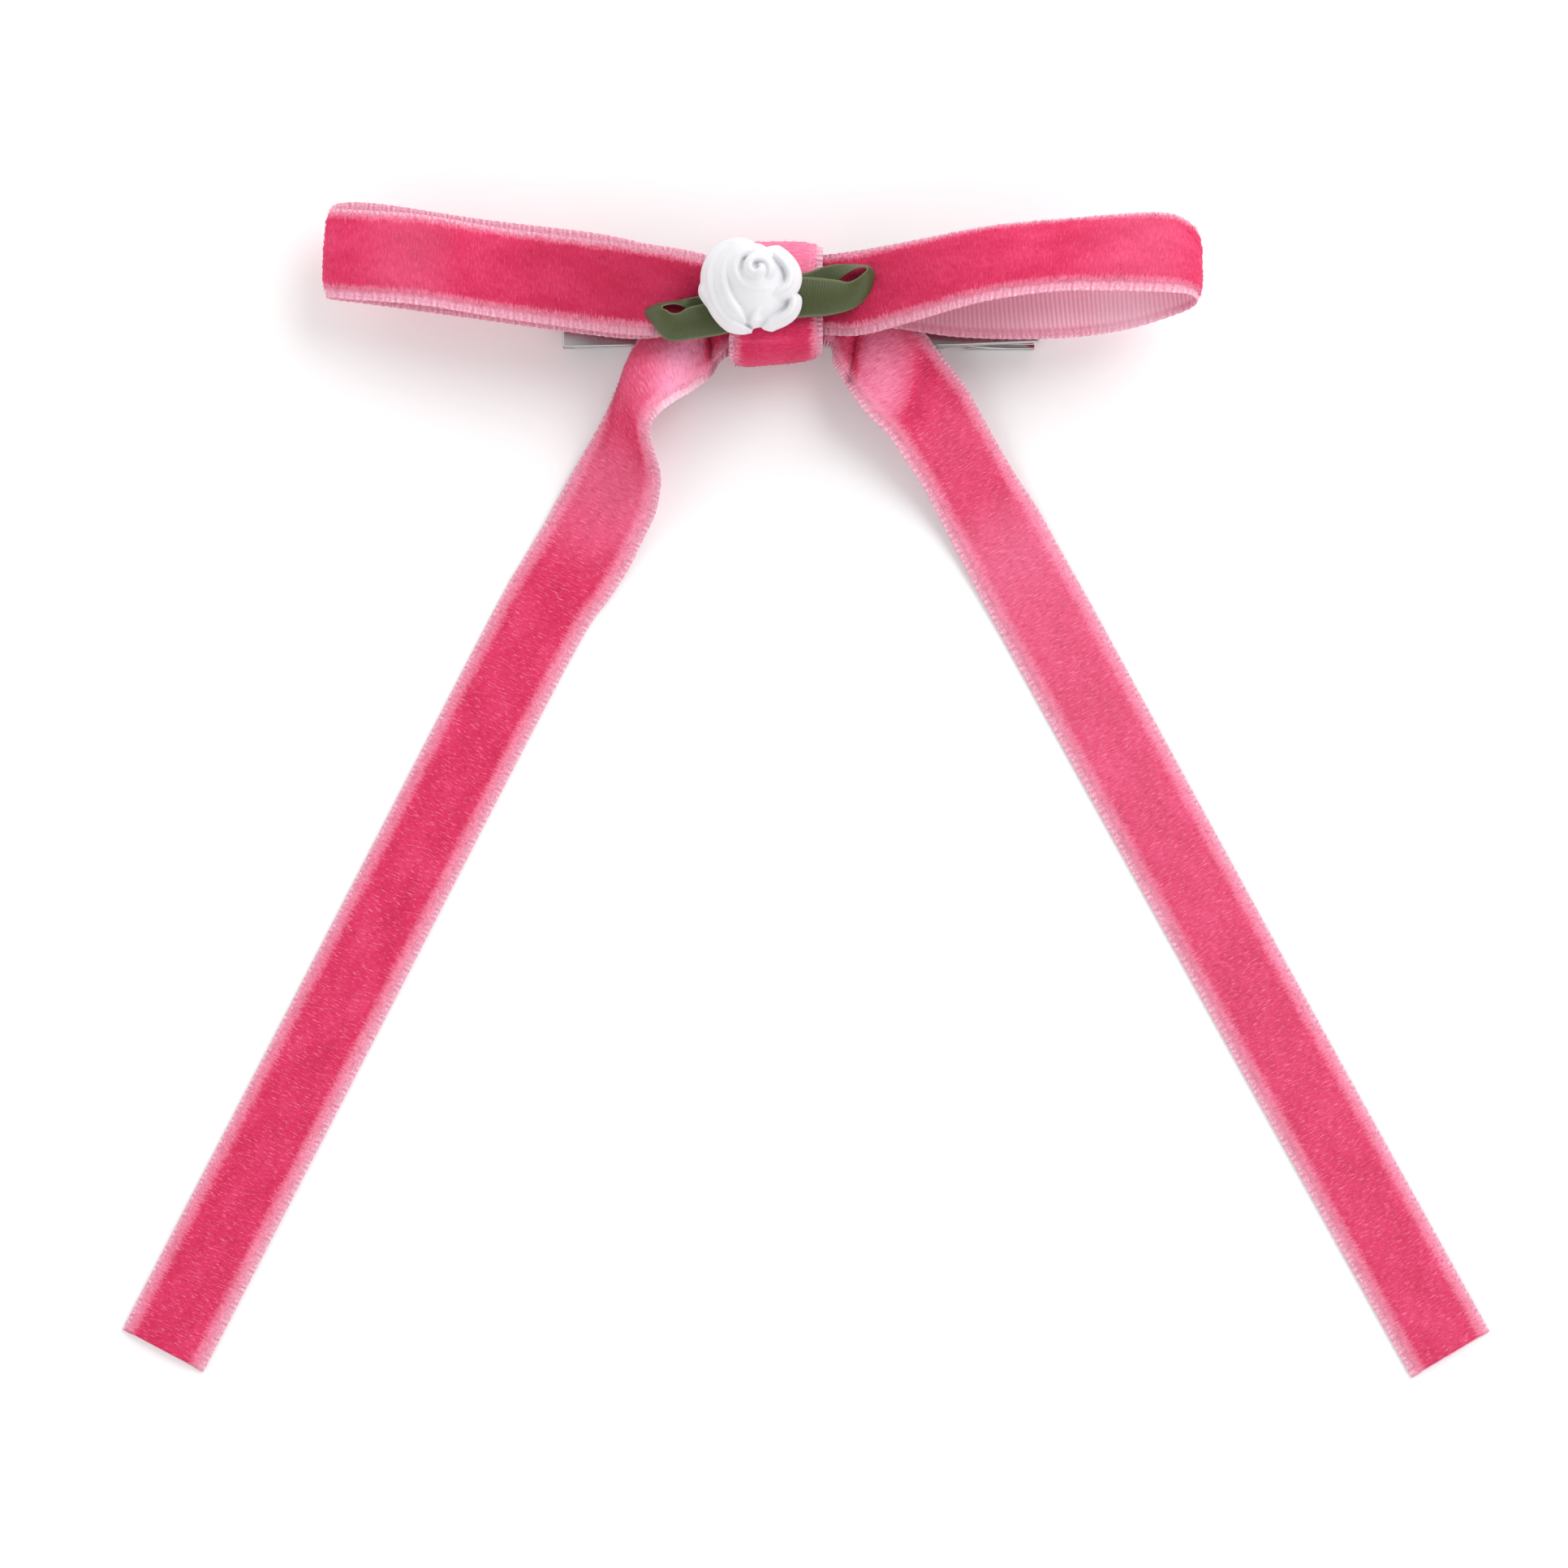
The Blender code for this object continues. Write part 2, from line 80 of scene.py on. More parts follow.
# Loose fibres have (shortest, longest) lengths and (thinnest, thickest) radii.
BORDER_FIBRES = ((0.15, 0.5), (0.025, 0.045))
FIELD_FIBRES = ((0.15, 0.38), (0.02, 0.04))
FIBRE_SCATTER = 0.25
FIBRE_ROOT = 0.05  # how deep a fibre starts in the pile

# Clip
EDGE_RADIUS = 0.15
LONG_EDGE = 2.0
SHARP_TURN = 50  # degrees between the faces of a cut edge
FLAT_TURN = 1  # degrees between faces that count as one
HINGE_X = 14.0
HINGE_Z = 2.3
WIRE = 0.45
COIL_RADIUS = 1.15
COIL_TURNS = 3.5
COIL_PITCH = 0.62
COIL_SIDES = 24  # steps in one turn of the coil
WIRE_SIDES = 12
SPRING_LEG_START = 2.0  # from the hinge
SPRING_LEG_X = 21.0
SPRING_LEG_SLOPE = 0.28

SEED = 11


# ---------------------------------------------------------------- meshes


def link(made):
    bpy.context.scene.collection.objects.link(made)
    return made


def mesh_object(name, points_mm, faces, finish, uvs=None, attributes=None):
    """A smooth-shaded object from points in millimetres. uvs and attributes are one per point."""
    mesh = bpy.data.meshes.new(name)
    mesh.from_pydata((np.asarray(points_mm) * MM).tolist(), [], np.asarray(faces).tolist())
    mesh.polygons.foreach_set("use_smooth", [True] * len(mesh.polygons))
    corner = np.empty(len(mesh.loops), np.int32)
    mesh.loops.foreach_get("vertex_index", corner)
    if uvs is not None:
        layer = mesh.uv_layers.new(name="cloth")
        layer.data.foreach_set("uv", np.asarray(uvs, np.float32)[corner].ravel())
    for key, values in (attributes or {}).items():
        attribute = mesh.attributes.new(key, "FLOAT", "POINT")
        attribute.data.foreach_set("value", np.asarray(values, np.float32))
    mesh.materials.append(finish)
    mesh.update()
    return link(bpy.data.objects.new(name, mesh))


def tube_faces(rows, columns):
    """Quads over a grid of rows, each row closed on itself. Both ends stay open."""
    i = np.arange(rows - 1)[:, None]
    k = np.arange(columns)[None, :]
    a = i * columns + k
    b = i * columns + (k + 1) % columns
    c = (i + 1) * columns + (k + 1) % columns
    d = (i + 1) * columns + k
    return np.stack([a, b, c, d], axis=-1).reshape(-1, 4)


def closed_tube_faces(rows, columns, start=0):
    """Tube faces with one flat face over each end. start is the number of the first point."""
    faces = (tube_faces(rows, columns) + start).tolist()
    last = start + (rows - 1) * columns
    faces.append(list(range(start, start + columns))[::-1])
    faces.append(list(range(last, last + columns)))
    return faces


def strip_caps(rows, columns):
    """Quads that close both ends of a strip whose section runs over the top and back underneath."""
    half = columns // 2
    k = np.arange(half - 1)
    start = np.stack([k, columns - 1 - k, columns - 2 - k, k + 1], axis=-1)
    last = (rows - 1) * columns
    end = np.stack([last + k + 1, last + columns - 2 - k, last + columns - 1 - k, last + k], axis=-1)
    return np.concatenate([start, end])


def closed_strip(top, under):
    """The points and faces of a strip, from the points of its two sides."""
    loop = np.concatenate([top, under[:, ::-1]], axis=1)
    rows, columns = loop.shape[:2]
    faces = np.concatenate([tube_faces(rows, columns), strip_caps(rows, columns)])
    return loop.reshape(-1, 3), faces[:, ::-1]


def cloth_uvs(u, run):
    """UV in millimetres for a grid of points: u across it and run along it."""
    return np.stack(np.broadcast_arrays(u[None, :], run[:, None]), axis=-1).reshape(-1, 2)


def there_and_back(values):
    return np.concatenate([values, values[::-1]])


# ---------------------------------------------------------------- curves


def spline(points, per_span=24):
    """Points on a Catmull-Rom curve through the given rows."""
    p = np.asarray(points, float)
    before = np.vstack([2 * p[:1] - p[1:2], p[:-2]])
    start, end = p[:-1], p[1:]
    after = np.vstack([p[2:], 2 * p[-1:] - p[-2:-1]])
    t = (np.arange(per_span) / per_span)[None, :, None]
    b, s, e, a = (q[:, None, :] for q in (before, start, end, after))
    curve = 0.5 * (
        2 * s + (e - b) * t + (2 * b - 5 * s + 4 * e - a) * t**2 + (3 * s - b - 3 * e + a) * t**3
    )
    return np.vstack([curve.reshape(-1, p.shape[1]), p[-1:]])


def smooth_rows(values, width):
    """Rows averaged over a sliding window, with both ends kept."""
    if width < 3:
        return values
    half = width // 2
    weights = np.hanning(2 * half + 3)[1:-1]
    weights /= weights.sum()
    before = 2 * values[:1] - values[half:0:-1]
    after = 2 * values[-1:] - values[-2 : -half - 2 : -1]
    padded = np.vstack([before, values, after])
    columns = range(values.shape[1])
    return np.stack([np.convolve(padded[:, c], weights, "valid") for c in columns], axis=1)


def middle_line(rows):
    return (rows[:, :3] + rows[:, 3:6]) / 2


def resample(rows, step, line_of):
    """Rows at even steps along the line that line_of gives, and how far along it each lies."""
    line = line_of(rows)
    run = np.concatenate([[0], np.cumsum(np.linalg.norm(np.diff(line, axis=0), axis=1))])
    count = max(int(round(run[-1] / step)), 8)
    wanted = np.linspace(0, run[-1], count + 1)
    return np.stack([np.interp(wanted, run, rows[:, c]) for c in range(rows.shape[1])], axis=1), wanted


def unit(v):
    return v / np.maximum(np.linalg.norm(v, axis=-1, keepdims=True), 1e-9)


def distance_to_segment(points, start, end):
    """How far each point lies from a straight segment."""
    start, end = np.asarray(start, float), np.asarray(end, float)
    run = end - start
    share = np.clip(((points - start) @ run) / (run @ run), 0, 1)
    return np.linalg.norm(points - (start + share[..., None] * run), axis=-1)


class Ribbon:
    """A strip between two edge curves.

    A station is (edge a, edge b, crown, painted shading): two points, how far the middle stands up from
    the straight line between them, and a painted highlight (up to 1) or painted shade (down to -1).
    A crease is (start, end, depth, width, painted shading): a line pressed into the strip and painted
    lighter or darker there; one of no depth only paints a highlight or a shade.
    """

    def __init__(self, stations, step=0.5, smoothing=2.4, creases=()):
        rows = np.array([[*a, *b, crown, painted_shading] for a, b, crown, painted_shading in stations], float)
        rows, _ = resample(spline(rows), step, middle_line)
        rows = smooth_rows(rows, int(smoothing / step) | 1)
        self.rows, self.run = resample(rows, step, middle_line)
        self.creases = creases
        self.length = self.run[-1]

    def surface(self, step, across, trim=0.0):
        """Points, outward normals, distance along and painted highlight or shade over the strip."""
        count = max(int(round(self.length / step)), 8)
        run = np.linspace(trim, self.length - trim, count + 1)
        rows = np.stack([np.interp(run, self.run, self.rows[:, c]) for c in range(8)], axis=1)
        across = np.asarray(across, float)
        a, b = rows[:, None, :3], rows[:, None, 3:6]
        u = across[None, :, None]
        middle, half = (a + b) / 2, (b - a) / 2
        along = np.gradient(middle_line(rows), axis=0)
        up = unit(np.cross(along, rows[:, 3:6] - rows[:, :3]))[:, None, :]
        points = middle + half * u + up * (rows[:, 6][:, None, None] * (1 - u**2))
        painted_shading = np.broadcast_to(rows[:, 7][:, None], points.shape[:2]).copy()
        for start, end, depth, width, shade in self.creases:
            fall = np.exp(-((distance_to_segment(points, start, end) / width) ** 2))
            points = points - up * (depth * fall)[:, :, None]
            painted_shading = painted_shading * (1 - fall) + shade * fall
        d_along = np.gradient(points, axis=0)
        d_across = np.gradient(points, across, axis=1)
        normals = unit(np.cross(d_along, d_across))
        return points, normals, run, painted_shading


def ground_columns():
    """Where the ground's points lie across it, from -1 to 1, closer together at the edges."""
    outer = [1.0, 0.985, 0.955, 0.915, 0.875, 0.83, 0.785]
    inner = [0.6, 0.4, 0.2]
    half = outer + inner
    return np.array([-x for x in half] + [0.0] + half[::-1])


def rise(columns, start, over):
    return np.clip((np.abs(columns) - start) / over, 0, 1)


def thinned(columns, power, depth):
    """How thick a strip stays across its width, from 0 to 1, with round edges."""
    return np.sqrt(np.clip(1 - np.abs(columns) ** power * depth, 0, 1))


def woven_ground(name, ribbon, finish):
    """The woven strip of the ribbon, with small loops along both edges."""
    columns = ground_columns()
    points, normals, run, painted_shading = ribbon.surface(GROUND_STEP, columns)
    widthways = unit(points[:, -1:] - points[:, :1])
    outermost = rise(columns, *PICOT_RISE)[None, :, None]
    wave = 0.5 + 0.5 * np.cos(2 * math.pi * run / PICOT_PITCH)
    picot = PICOT * (wave**0.7)[:, None, None] * outermost * np.sign(columns)[None, :, None]
    points = points + widthways * picot
    rib = RIB * wave[:, None] * rise(columns, *RIB_RISE)[None, :]
    thick = (GROUND / 2 * thinned(columns, 14, 0.9))[None, :, None]
    top = points + normals * (thick + rib[:, :, None])
    loop, faces = closed_strip(top, points - normals * thick)
    uvs = cloth_uvs(there_and_back(columns) * RIBBON_WIDTH / 2, run)
    # The ground carries the painted highlight and shade that its material colours in.
    painted_shadings = np.concatenate([painted_shading, painted_shading[:, ::-1]], axis=1).reshape(-1)
    return mesh_object(name, loop, faces, finish, uvs, {"painted_shading": painted_shadings})


def spikes(roots, ways, lengths, radii):
    """Closed three-sided fibres: four points for each, and the triangles."""
    side = unit(np.cross(ways, np.array([0.31, 0.17, 0.94])))
    other = np.cross(ways, side)
    corners = []
    for k in range(3):
        turn = 2 * math.pi * k / 3
        corners.append(roots + (side * math.cos(turn) + other * math.sin(turn)) * radii[:, None])
    points = np.stack([*corners, roots + ways * lengths[:, None]], axis=1)
    base = 4 * np.arange(len(roots))[:, None]
    pattern = [[0, 1, 3], [1, 2, 3], [2, 0, 3], [2, 1, 0]]
    faces = np.concatenate([base + np.array(row)[None, :] for row in pattern])
    return points.reshape(-1, 3), faces


def velvet_pile_piece(name, ribbon, reach, finish):
    """The raised pile, with loose fibres over it and along its borders."""
    rng = np.random.default_rng(SEED)
    share = np.linspace(-1, 1, PILE_COLUMNS + 1)
    across = np.where(share < 0, share * reach[0], share * reach[1])
    points, normals, run, painted_shading = ribbon.surface(PILE_STEP, across, PILE_TRIM)
    widthways = points[:, -1:] - points[:, :1]
    wander = smooth_rows(rng.normal(0, 1, (len(run), 2)), 5) * PILE_WANDER
    side = np.where(share < 0, wander[:, :1], wander[:, 1:]) * (np.abs(share) ** 4)[None, :]
    points = points + widthways * side[:, :, None]
    shoulder = (1 - np.abs(share) ** 5) ** 0.8
    grain = rng.normal(0, 1, points.shape[:2])
    grain = (grain + np.roll(grain, 1, axis=0)) * PILE_GRAIN
    height = GROUND / 2 + PILE_HEIGHT * shoulder[None, :] + grain * (0.4 + 0.6 * shoulder)[None, :]
    height[:, 0] = height[:, -1] = GROUND / 2 - PILE_SUNK
    top = points + normals * height[:, :, None]
    keep = np.array([PILE_COLUMNS, PILE_COLUMNS // 2, 0])
    under = points[:, keep] - normals[:, keep] * PILE_UNDERSIDE
    loop = np.concatenate([top, under], axis=1)
    count, width = loop.shape[:2]
    uvs = cloth_uvs(np.concatenate([across, across[keep]]) * RIBBON_WIDTH / 2, run)
    painted_shadings = np.concatenate([painted_shading, painted_shading[:, keep]], axis=1).reshape(-1)
    edges = np.tile(np.abs(np.concatenate([share, share[keep]])), count)
    faces = [face[::-1] for face in closed_tube_faces(count, width)]
    mesh_points, start = [loop.reshape(-1, 3)], count * width

    out = unit(widthways)[:, 0]
    along = unit(np.gradient(points[:, PILE_COLUMNS // 2], axis=0))
    border = int(BORDER_TUFTS * ribbon.length)
    field = int(FIELD_TUFTS * ribbon.length * RIBBON_WIDTH * PILE_SHARE)
    # kind is -1 and 1 for the two borders, and 0 for the field between them.
    for amount, kind in ((border, -1), (border, 1), (field, 0)):
        row = rng.integers(1, count - 1, amount)
        if kind:
            column = np.where(rng.random(amount) < 0.5, 1, 2)
            column = PILE_COLUMNS - column if kind > 0 else column
            way = normals[row, column] * 0.35 + out[row] * kind * 0.8
        else:
            column = rng.integers(2, PILE_COLUMNS - 1, amount)
            way = normals[row, column] * 0.45 + along[row] * 0.8
        length_range, radius_range = BORDER_FIBRES if kind else FIELD_FIBRES
        lengths = rng.uniform(*length_range, amount)
        radii = rng.uniform(*radius_range, amount)
        way = unit(way + rng.normal(0, FIBRE_SCATTER, (amount, 3)))
        slide = rng.uniform(-0.5, 0.5, (amount, 1)) * PILE_STEP
        roots = top[row, column] + along[row] * slide - normals[row, column] * FIBRE_ROOT
        fibres, triangles = spikes(roots, way, lengths, radii)
        mesh_points.append(fibres)
        faces += (triangles + start).tolist()
        start += len(fibres)
        fibre_uv = np.stack([across[column] * RIBBON_WIDTH / 2, run[row] + slide[:, 0]], axis=-1)
        uvs = np.concatenate([uvs, np.repeat(fibre_uv, 4, axis=0)])
        # Loose fibres take the painted highlight or shade of the pile they rise from, lifted lighter at
        # random.
        lighter = painted_shading[row, column] + rng.uniform(-0.1, 0.35, amount)
        painted_shadings = np.concatenate([painted_shadings, np.repeat(lighter, 4)])
        tips = np.abs(share[column]) + (0.12 if kind else 0.0)
        edges = np.concatenate([edges, np.repeat(tips, 4)])
    extra = {"painted_shading": painted_shadings, "edge": edges}
    faces = np.array(faces, dtype=object)
    return mesh_object(name, np.concatenate(mesh_points), faces, finish, uvs, extra)


# ---------------------------------------------------------------- materials


BLACK = (0, 0, 0)
WHITE = (1, 1, 1)


class Nodes:
    """A short way to write a material's node tree."""

    def __init__(self, name, **sockets):
        self.material = bpy.data.materials.new(name)
        self.material.use_nodes = True
        self.tree = self.material.node_tree
        self.shader = self.tree.nodes["Principled BSDF"]
        for key, value in sockets.items():
            self.shader.inputs[key.replace("_", " ")].default_value = value

    def node(self, kind, inputs=None, **settings):
        made = self.tree.nodes.new(kind)
        for key, value in settings.items():
            setattr(made, key, value)
        for key, value in (inputs or {}).items():
            if isinstance(value, bpy.types.NodeSocket):
                self.tree.links.new(value, made.inputs[key])
            else:
                made.inputs[key].default_value = value
        return made

    def link(self, socket, name):
        self.tree.links.new(socket, self.shader.inputs[name])

    def math(self, operation, a, b=0.0, c=0.0):
        return self.node("ShaderNodeMath", {0: a, 1: b, 2: c}, operation=operation).outputs[0]

    def ramp(self, value, stops):
        made = self.node("ShaderNodeValToRGB", {"Fac": value})
        elements = made.color_ramp.elements
        while len(elements) < len(stops):
            elements.new(0.5)
        for element, (place, colour) in zip(elements, stops):
            element.position = place
            element.color = (*colour, 1.0)
        return made.outputs["Color"]

    def step(self, value, low, high):
        """Black up to low, white from high."""
        return self.ramp(value, [(low, BLACK), (high, WHITE)])

    def attribute(self, name):
        return self.node("ShaderNodeAttribute", attribute_name=name).outputs["Fac"]

    def wave(self, along, pitch):
        """A wave from 0 to 1 with the given pitch."""
        turn = self.math("MULTIPLY", along, 2 * math.pi / pitch)
        return self.math("MULTIPLY_ADD", self.math("COSINE", turn), 0.5, 0.5)

    def noise(self, vector, scale, detail=2.0, rough=0.5):
        inputs = {"Vector": vector, "Scale": scale, "Detail": detail, "Roughness": rough}
        return self.node("ShaderNodeTexNoise", inputs).outputs["Fac"]

    def stretch(self, vector, scale, turn=0.0):
        turned = {"Vector": vector, "Scale": scale, "Rotation": (0.0, 0.0, turn)}
        return self.node("ShaderNodeMapping", turned).outputs["Vector"]

    def mix(self, share, a, b):
        made = self.node("ShaderNodeMix", data_type="RGBA", blend_type="MIX")
        for index, value in ((0, share), (6, a), (7, b)):
            if isinstance(value, bpy.types.NodeSocket):
                self.tree.links.new(value, made.inputs[index])
            else:
                made.inputs[index].default_value = value if index == 0 else (*value, 1.0)
        return made.outputs[2]

    def bump(self, height, strength, distance):
        inputs = {"Height": height, "Strength": strength, "Distance": distance}
        self.link(self.node("ShaderNodeBump", inputs).outputs["Normal"], "Normal")

    def cloth(self):
        """UV in millimetres: the vector, its distance across and its distance along."""
        vector = self.node("ShaderNodeUVMap", uv_map="cloth").outputs["UV"]
        split = self.node("ShaderNodeSeparateXYZ", {"Vector": vector})
        return vector, split.outputs["X"], split.outputs["Y"]

    def place(self):
        return self.node("ShaderNodeTexCoord").outputs["Object"]


def velvet_pile(name, streaks_and_glints, fringe_from, fringe_share):
    """Velvet pile.

    The argument after the name is how strongly it is streaked and how strong its painted glints are,
    fringe_from where its pale border starts and fringe_share how pale that gets.
    """
    m = Nodes(name, Roughness=0.8, Sheen_Weight=0.55, Sheen_Roughness=0.3)
    m.shader.inputs["Sheen Tint"].default_value = (1.0, 0.5, 0.7, 1.0)
    m.shader.inputs["Specular IOR Level"].default_value = 0.2
    vector, _, _ = m.cloth()
    streak = m.noise(m.stretch(vector, (1.5, 5.0, 1.0)), 1.0, 3.0, 0.65)
    cloud = m.noise(m.stretch(vector, (0.30, 0.16, 1.0)), 1.0, 2.0)
    dash = m.noise(m.stretch(vector, (1.1, 6.5, 1.0), 0.35), 1.0, 2.0, 0.7)
    spark = m.noise(m.stretch(vector, (3.5, 8.0, 1.0)), 1.0, 2.0, 0.7)
    blend = m.math("MULTIPLY_ADD", streak, 0.5, m.math("MULTIPLY", cloud, 0.5))
    stops = [(0.3, (0.55, 0.017, 0.074)), (0.5, (0.67, 0.030, 0.112)), (0.70, (0.78, 0.065, 0.18))]
    colour = m.ramp(blend, stops)
    # Painted highlight where the shading figure is above 0, broken up by streaks, and painted shade where it
    # is below 0.
    painted_shading = m.attribute("painted_shading")
    combed = m.math("MULTIPLY_ADD", m.math("SUBTRACT", dash, 0.5), 1.3, 1.0)
    raised = m.math("MULTIPLY", m.math("MAXIMUM", painted_shading, 0.0), combed)
    light = m.math("MINIMUM", m.math("MAXIMUM", raised, 0.0), 1.0)
    dark = m.math("MINIMUM", m.math("MAXIMUM", m.math("MULTIPLY", painted_shading, -1.0), 0.0), 1.0)
    colour = m.mix(light, colour, (1.0, 0.35, 0.55))
    colour = m.mix(dark, colour, (0.33, 0.006, 0.036))
    # Painted glints and flecks of sheen, kept out of the painted shade.
    glint = m.step(dash, 0.57, 0.67)
    parted = m.ramp(dash, [(0.32, WHITE), (0.44, BLACK)])
    colour = m.mix(m.math("MULTIPLY", parted, 0.35 * streaks_and_glints), colour, (0.46, 0.014, 0.06))
    fleck = m.step(spark, 0.62, 0.72)
    shine = m.math("MULTIPLY_ADD", glint, 0.5, m.math("MULTIPLY", fleck, 0.3))
    shine = m.math("MULTIPLY", m.math("MULTIPLY", shine, streaks_and_glints), m.math("SUBTRACT", 1.0, dark))
    colour = m.mix(shine, colour, (0.95, 0.30, 0.45))
    edge = m.attribute("edge")
    ragged = m.math("MULTIPLY_ADD", m.math("SUBTRACT", streak, 0.5), 0.4, edge)
    fringe = m.step(ragged, fringe_from, 1.0)
    colour = m.mix(m.math("MULTIPLY", fringe, fringe_share), colour, (0.95, 0.38, 0.53))
    m.link(colour, "Base Color")
    m.bump(m.math("ADD", streak, m.math("MULTIPLY", dash, 0.9)), 0.6, 0.00014)
    return m.material


def ribbon_ground(name, edge_dark, edge_light):
    """The woven side of the ribbon, with two shades for its looped edges."""
    m = Nodes(name, Roughness=0.5, Sheen_Weight=0.3, Sheen_Roughness=0.4)
    m.shader.inputs["Specular IOR Level"].default_value = 0.4
    vector, across, along = m.cloth()
    reach = m.math("DIVIDE", m.math("ABSOLUTE", across), RIBBON_WIDTH / 2)
    fine = m.noise(m.stretch(vector, (5.0, 6.0, 1.0)), 1.0, 3.0, 0.6)
    loose = m.noise(vector, 1.4, 2.0)
    shifted = m.math("MULTIPLY_ADD", loose, 0.5, along)
    picot = m.wave(shifted, PICOT_PITCH)
    rib = m.wave(along, RIB_PITCH)
    outer = m.step(reach, 0.74, 0.82)
    body = m.mix(rib, (0.82, 0.36, 0.48), (1.0, 0.58, 0.71))
    looped = m.math("MULTIPLY_ADD", picot, 0.4, m.math("MULTIPLY", fine, 0.6))
    edge = m.mix(looped, edge_dark, edge_light)
    seam = m.ramp(reach, [(0.90, BLACK), (0.925, WHITE), (0.95, BLACK)])
    edge = m.mix(m.math("MULTIPLY", seam, 0.35), edge, (0.55, 0.12, 0.22))
    colour = m.mix(outer, body, edge)
    # Painted glints over the weave, and brighter painted glints on the beads of the outermost edge.
    glint = m.step(fine, 0.58, 0.68)
    colour = m.mix(m.math("MULTIPLY", glint, 0.5), colour, (0.98, 0.66, 0.76))
    outermost = m.step(reach, 0.86, 0.93)
    glitter = m.math("MULTIPLY", m.step(fine, 0.40, 0.60), outermost)
    bead_glints = m.math("MULTIPLY", m.wave(shifted, BEAD_PITCH), glitter)
    colour = m.mix(m.math("MULTIPLY", bead_glints, 0.6), colour, (1.0, 0.78, 0.86))
    # Painted highlight on the bulges and painted shade inside the loops near the knot, from the shading
    # figure.
    painted_shading = m.attribute("painted_shading")
    light = m.math("MULTIPLY", m.math("MAXIMUM", m.math("SUBTRACT", painted_shading, 0.25), 0.0), 0.8)
    colour = m.mix(m.math("MINIMUM", light, 0.7), colour, (1.0, 0.72, 0.84))
    dark = m.math("MULTIPLY", m.math("MAXIMUM", m.math("MULTIPLY", painted_shading, -1.0), 0.0), 0.75)
    colour = m.mix(m.math("MINIMUM", dark, 0.6), colour, (0.42, 0.13, 0.18))
    m.link(colour, "Base Color")
    height = m.math("ADD", rib, m.math("MULTIPLY", fine, 0.8))
    m.bump(height, 0.7, 0.00010)
    return m.material


def satin(name, dark, light, edge, roughness, half_width):
    m = Nodes(name, Roughness=roughness, Sheen_Weight=0.15, Sheen_Roughness=0.3)
    m.shader.inputs["Specular IOR Level"].default_value = 0.5
    vector, across, along = m.cloth()
    thread = m.noise(m.stretch(vector, (1.2, 9.0, 1.0)), 1.0, 3.0, 0.6)
    cross = m.noise(m.stretch(vector, (9.0, 3.0, 1.0)), 1.0, 2.0, 0.6)
    colour = m.mix(m.math("MULTIPLY_ADD", thread, 0.7, m.math("MULTIPLY", cross, 0.3)), dark, light)
    reach = m.math("DIVIDE", m.math("ABSOLUTE", across), half_width)
    rim = m.ramp(m.math("MULTIPLY_ADD", cross, 0.12, reach), [(0.88, BLACK), (1.04, WHITE)])
    colour = m.mix(m.math("MULTIPLY", rim, 0.8), colour, edge)
    m.link(colour, "Base Color")
    rib = m.wave(along, SATIN_RIB_PITCH)
    m.bump(m.math("ADD", m.math("MULTIPLY", rib, 0.6), thread), 0.5, 0.00004)
    return m.material


def rose_satin():
    m = Nodes("rose_satin", Roughness=0.5, Sheen_Weight=0.2, Sheen_Roughness=0.3)
    place = m.place()
    soft = m.noise(place, 900.0, 3.0, 0.6)
    fold = m.noise(m.stretch(place, (1.0, 1.0, 0.3)), 260.0, 2.0)
    colour = m.mix(fold, (0.66, 0.67, 0.70), (0.78, 0.78, 0.80))
    m.link(colour, "Base Color")
    m.bump(m.math("MULTIPLY_ADD", soft, 0.4, fold), 0.35, 0.00018)
    return m.material


def plated_steel(name, colour, roughness):
    m = Nodes(name, Metallic=1.0, Roughness=roughness)
    place = m.place()
    brush = m.noise(m.stretch(place, (120.0, 3000.0, 3000.0)), 1.0, 3.0, 0.6)
    wear = m.noise(place, 700.0, 3.0, 0.6)
    tint = m.mix(m.math("MULTIPLY", wear, 0.5), colour, tuple(0.75 * c for c in colour))
    m.link(tint, "Base Color")
    m.link(m.math("MULTIPLY_ADD", wear, 0.15, roughness - 0.05), "Roughness")
    m.bump(brush, 0.12, 0.00002)
    return m.material


def hot_glue():
    m = Nodes("hot_glue", Roughness=0.35)
    place = m.place()
    cloud = m.noise(place, 500.0, 3.0)
    m.link(m.mix(cloud, (0.78, 0.75, 0.66), (0.90, 0.88, 0.80)), "Base Color")
    m.bump(cloud, 0.3, 0.0002)
    return m.material


# ---------------------------------------------------------------- the bow's ribbons

